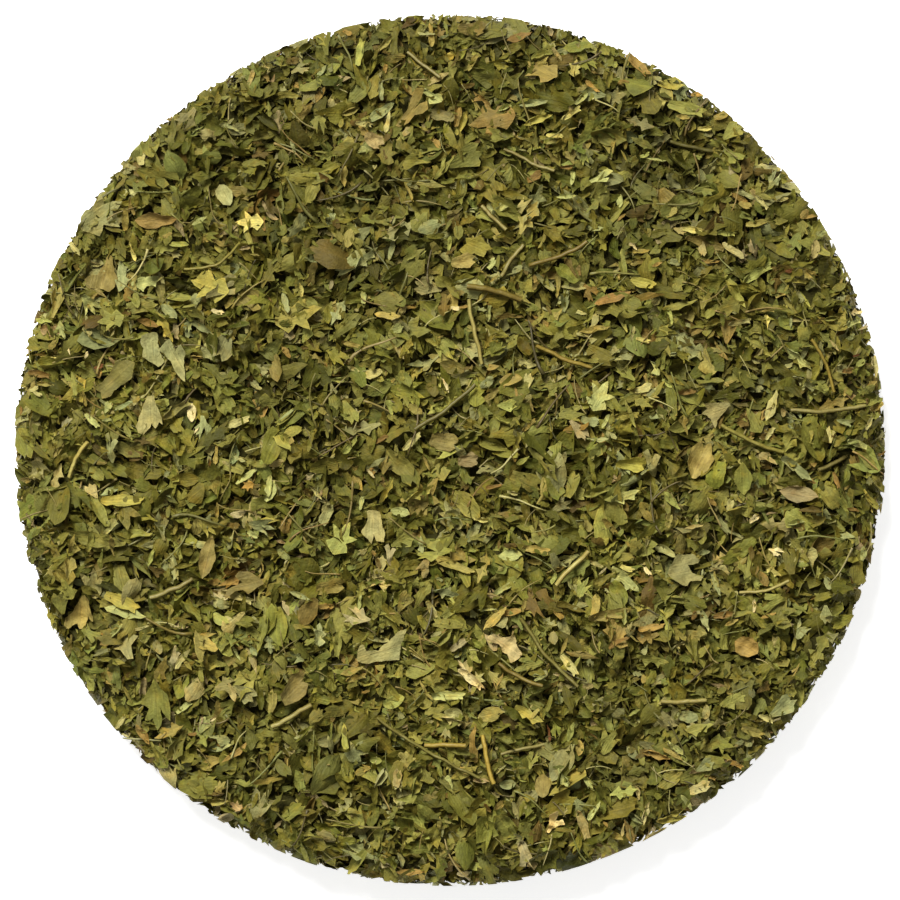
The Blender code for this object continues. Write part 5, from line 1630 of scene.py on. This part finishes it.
def stem_line(name):
    """Centre line of a packed stem from its left or far end, and its radius."""
    points = node_points(name)
    middle = points.mean(axis=0)
    along = (points - middle) @ np.linalg.svd(points - middle, full_matrices=False)[2][0]
    edges = np.linspace(along.min() - 1e-6, along.max() + 1e-6, STEM_SLICES + 1)
    line = [points[(along >= a) & (along <= b)].mean(axis=0) for a, b in zip(edges, edges[1:])
            if ((along >= a) & (along <= b)).any()]
    line[0] = points[along < along.min() + 1e-4].mean(axis=0)
    line[-1] = points[along > along.max() - 1e-4].mean(axis=0)
    end = points[along < along.min() + 1e-4]
    run = line[-1] - line[0]
    if (run[0] < 0 and abs(run[0]) > abs(run[1])) or (run[1] > 0 and abs(run[1]) >= abs(run[0])):
        line = line[::-1]
    return line, float(np.linalg.norm(end - end.mean(axis=0), axis=1).max())


def stem_tree():
    tree = bpy.data.node_groups.new("ribbed stem", "GeometryNodeTree")
    tree.interface.new_socket("Line", in_out="INPUT", socket_type="NodeSocketGeometry")
    for name, value in STEM_SIZES.items():
        tree.interface.new_socket(name, in_out="INPUT", socket_type="NodeSocketFloat").default_value = value
    tree.interface.new_socket("Ribs", in_out="INPUT", socket_type="NodeSocketInt").default_value = STEM_RIBS
    tree.interface.new_socket("Finish", in_out="INPUT", socket_type="NodeSocketMaterial")
    tree.interface.new_socket("Stem", in_out="OUTPUT", socket_type="NodeSocketGeometry")
    given = tree.nodes.new("NodeGroupInput").outputs
    line = new_node(tree, "GeometryNodeMeshToCurve", {"Mesh": given["Line"]})
    smooth = new_node(tree, "GeometryNodeCurveSplineType", {"Curve": line.outputs["Curve"]},
                      spline_type="CATMULL_ROM")
    stepped = new_node(tree, "GeometryNodeResampleCurve", {
        "Curve": smooth.outputs["Curve"], "Count": STEM_STEPS})
    share = new_node(tree, "GeometryNodeSplineParameter").outputs["Factor"]
    from_middle = maths(tree, "ABSOLUTE", maths(tree, "SUBTRACT", maths(tree, "MULTIPLY", share, 2.0), 1.0))
    in_first_half = maths(tree, "LESS_THAN", share, 0.5)
    end_size = maths(tree, "ADD", maths(tree, "MULTIPLY", in_first_half, given["Start"]),
                     maths(tree, "MULTIPLY", maths(tree, "SUBTRACT", 1.0, in_first_half), given["End"]))
    end_change = maths(tree, "SUBTRACT", end_size, 1.0)
    taper = maths(tree, "ADD", 1.0, maths(tree, "MULTIPLY", from_middle, end_change))
    place = new_node(tree, "GeometryNodeInputPosition").outputs["Position"]
    lumps = noise(tree, place, 900.0)
    thickness = maths(tree, "MULTIPLY", taper, maths(tree, "ADD", 0.6, maths(tree, "MULTIPLY", lumps, 0.8)))
    waves = {"Vector": place, "Scale": given["Kink Scale"], "Detail": 2.0}
    kinked = new_node(tree, "GeometryNodeSetPosition", {
        "Geometry": stepped.outputs["Curve"], "Offset": noise_shift(tree, waves, given["Kinks"])})
    sized = new_node(tree, "GeometryNodeSetCurveRadius", {
        "Curve": kinked.outputs["Geometry"], "Radius": thickness})
    inner = maths(tree, "MULTIPLY", given["Radius"], maths(tree, "SUBTRACT", 1.0, given["Rib Depth"]))
    section = new_node(tree, "GeometryNodeCurveStar", {
        "Points": given["Ribs"], "Inner Radius": inner, "Outer Radius": given["Radius"]})
    tube = new_node(tree, "GeometryNodeCurveToMesh", {
        "Curve": sized.outputs["Curve"], "Profile Curve": section.outputs["Curve"], "Fill Caps": True})
    real = new_node(tree, "GeometryNodeRealizeInstances", {"Geometry": tube.outputs["Mesh"]})
    finished = new_node(tree, "GeometryNodeSetMaterial", {
        "Geometry": real.outputs["Geometry"], "Material": given["Finish"]})
    output = tree.nodes.new("NodeGroupOutput")
    tree.links.new(finished.outputs["Geometry"], output.inputs["Stem"])
    return tree


ribbed_stem = stem_tree()


def stem_piece(name):
    finish, start, end = LOOSE_STEMS[name]
    line, radius = stem_line(name)
    points = bpy.data.meshes.new(name + " line")
    points.from_pydata(line, [(i, i + 1) for i in range(len(line) - 1)], [])
    piece = new_piece(name + "_stalk", points)
    modifier = piece.modifiers.new("Ribbed stem", "NODES")
    modifier.node_group = ribbed_stem
    for input_name, value in {**STEM_SIZES, "Radius": radius, "Start": start, "End": end}.items():
        modifier[socket_id(ribbed_stem, input_name)] = value
    modifier[socket_id(ribbed_stem, "Ribs")] = STEM_RIBS
    modifier[socket_id(ribbed_stem, "Finish")] = STEM_MATERIALS[finish]
    made_real(piece)
    give_tone(piece, name)
    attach(piece, "root")
    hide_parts(name)
    return piece


stems = [stem_piece(name) for name in LOOSE_STEMS]
print(len(stems), "stems of", sum(map(triangles_of, stems)), "triangles")

# %% [markdown]
# The scattered flakes and the imported inside together stand for the imported model's bed.

# %% Attaching the heap
for piece in heap_pieces:
    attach(piece, "root")
    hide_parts("leaf_bed")
for group in KIND_GROUPS.values():
    for kind in list(group.objects):
        bpy.data.objects.remove(kind)
    bpy.data.collections.remove(group)
print("the whole heap:", sum(map(triangles_of, heap_pieces + loose_leaves + stems)), "triangles")

# %% [markdown]
# ## Floor, light and camera
#
# The photo looks straight down from far away on white. A large soft lamp stands to the upper left, so
# each flake shades its lower edge, and a weak even light fills the shadows.

# %% Floor, light and camera
FLOOR_SIZE = 3.0
LAMP_PLACE = Vector((-0.60, 1.20, 1.65))
LAMP_SIZE = 0.90
LAMP_POWER = 76.0
FILL_STRENGTH = 0.25
FLOOR_GLOW = 0.74
CAMERA_LENS = 600.0
CAMERA_HEIGHT = 2.410

floor_mesh = bpy.data.meshes.new("floor")
half = FLOOR_SIZE / 2
corners = [(-half, -half, 0), (half, -half, 0), (half, half, 0), (-half, half, 0)]
floor_mesh.from_pydata(corners, [], [(0, 1, 2, 3)])
floor_material, _, floor_shader = new_material("white paper", 0.9, 0.1)
floor_shader.inputs["Base Color"].default_value = (0.90, 0.90, 0.90, 1)
floor_shader.inputs["Emission Color"].default_value = (1, 1, 1, 1)
floor_shader.inputs["Emission Strength"].default_value = FLOOR_GLOW
floor_mesh.materials.append(floor_material)
floor = new_piece("floor", floor_mesh)

lamp_data = bpy.data.lights.new("soft lamp", "AREA")
lamp_data.shape = "DISK"
lamp_data.size = LAMP_SIZE
lamp_data.energy = LAMP_POWER
lamp = bpy.data.objects.new("soft lamp", lamp_data)
lamp.location = LAMP_PLACE
lamp.rotation_euler = LAMP_PLACE.to_track_quat("Z", "Y").to_euler()
bpy.context.scene.collection.objects.link(lamp)

world = bpy.data.worlds.new("even light")
world.use_nodes = True
world.node_tree.nodes["Background"].inputs["Color"].default_value = (1, 1, 1, 1)
world.node_tree.nodes["Background"].inputs["Strength"].default_value = FILL_STRENGTH
bpy.context.scene.world = world
bpy.context.scene.view_settings.view_transform = "Standard"

camera_data = bpy.data.cameras.new("camera")
camera_data.lens = CAMERA_LENS
camera_data.clip_start = 0.01
camera = bpy.data.objects.new("camera", camera_data)
camera.location = (0, 0, CAMERA_HEIGHT)
bpy.context.scene.collection.objects.link(camera)
bpy.context.scene.camera = camera
print("camera", CAMERA_HEIGHT, "m above the floor")
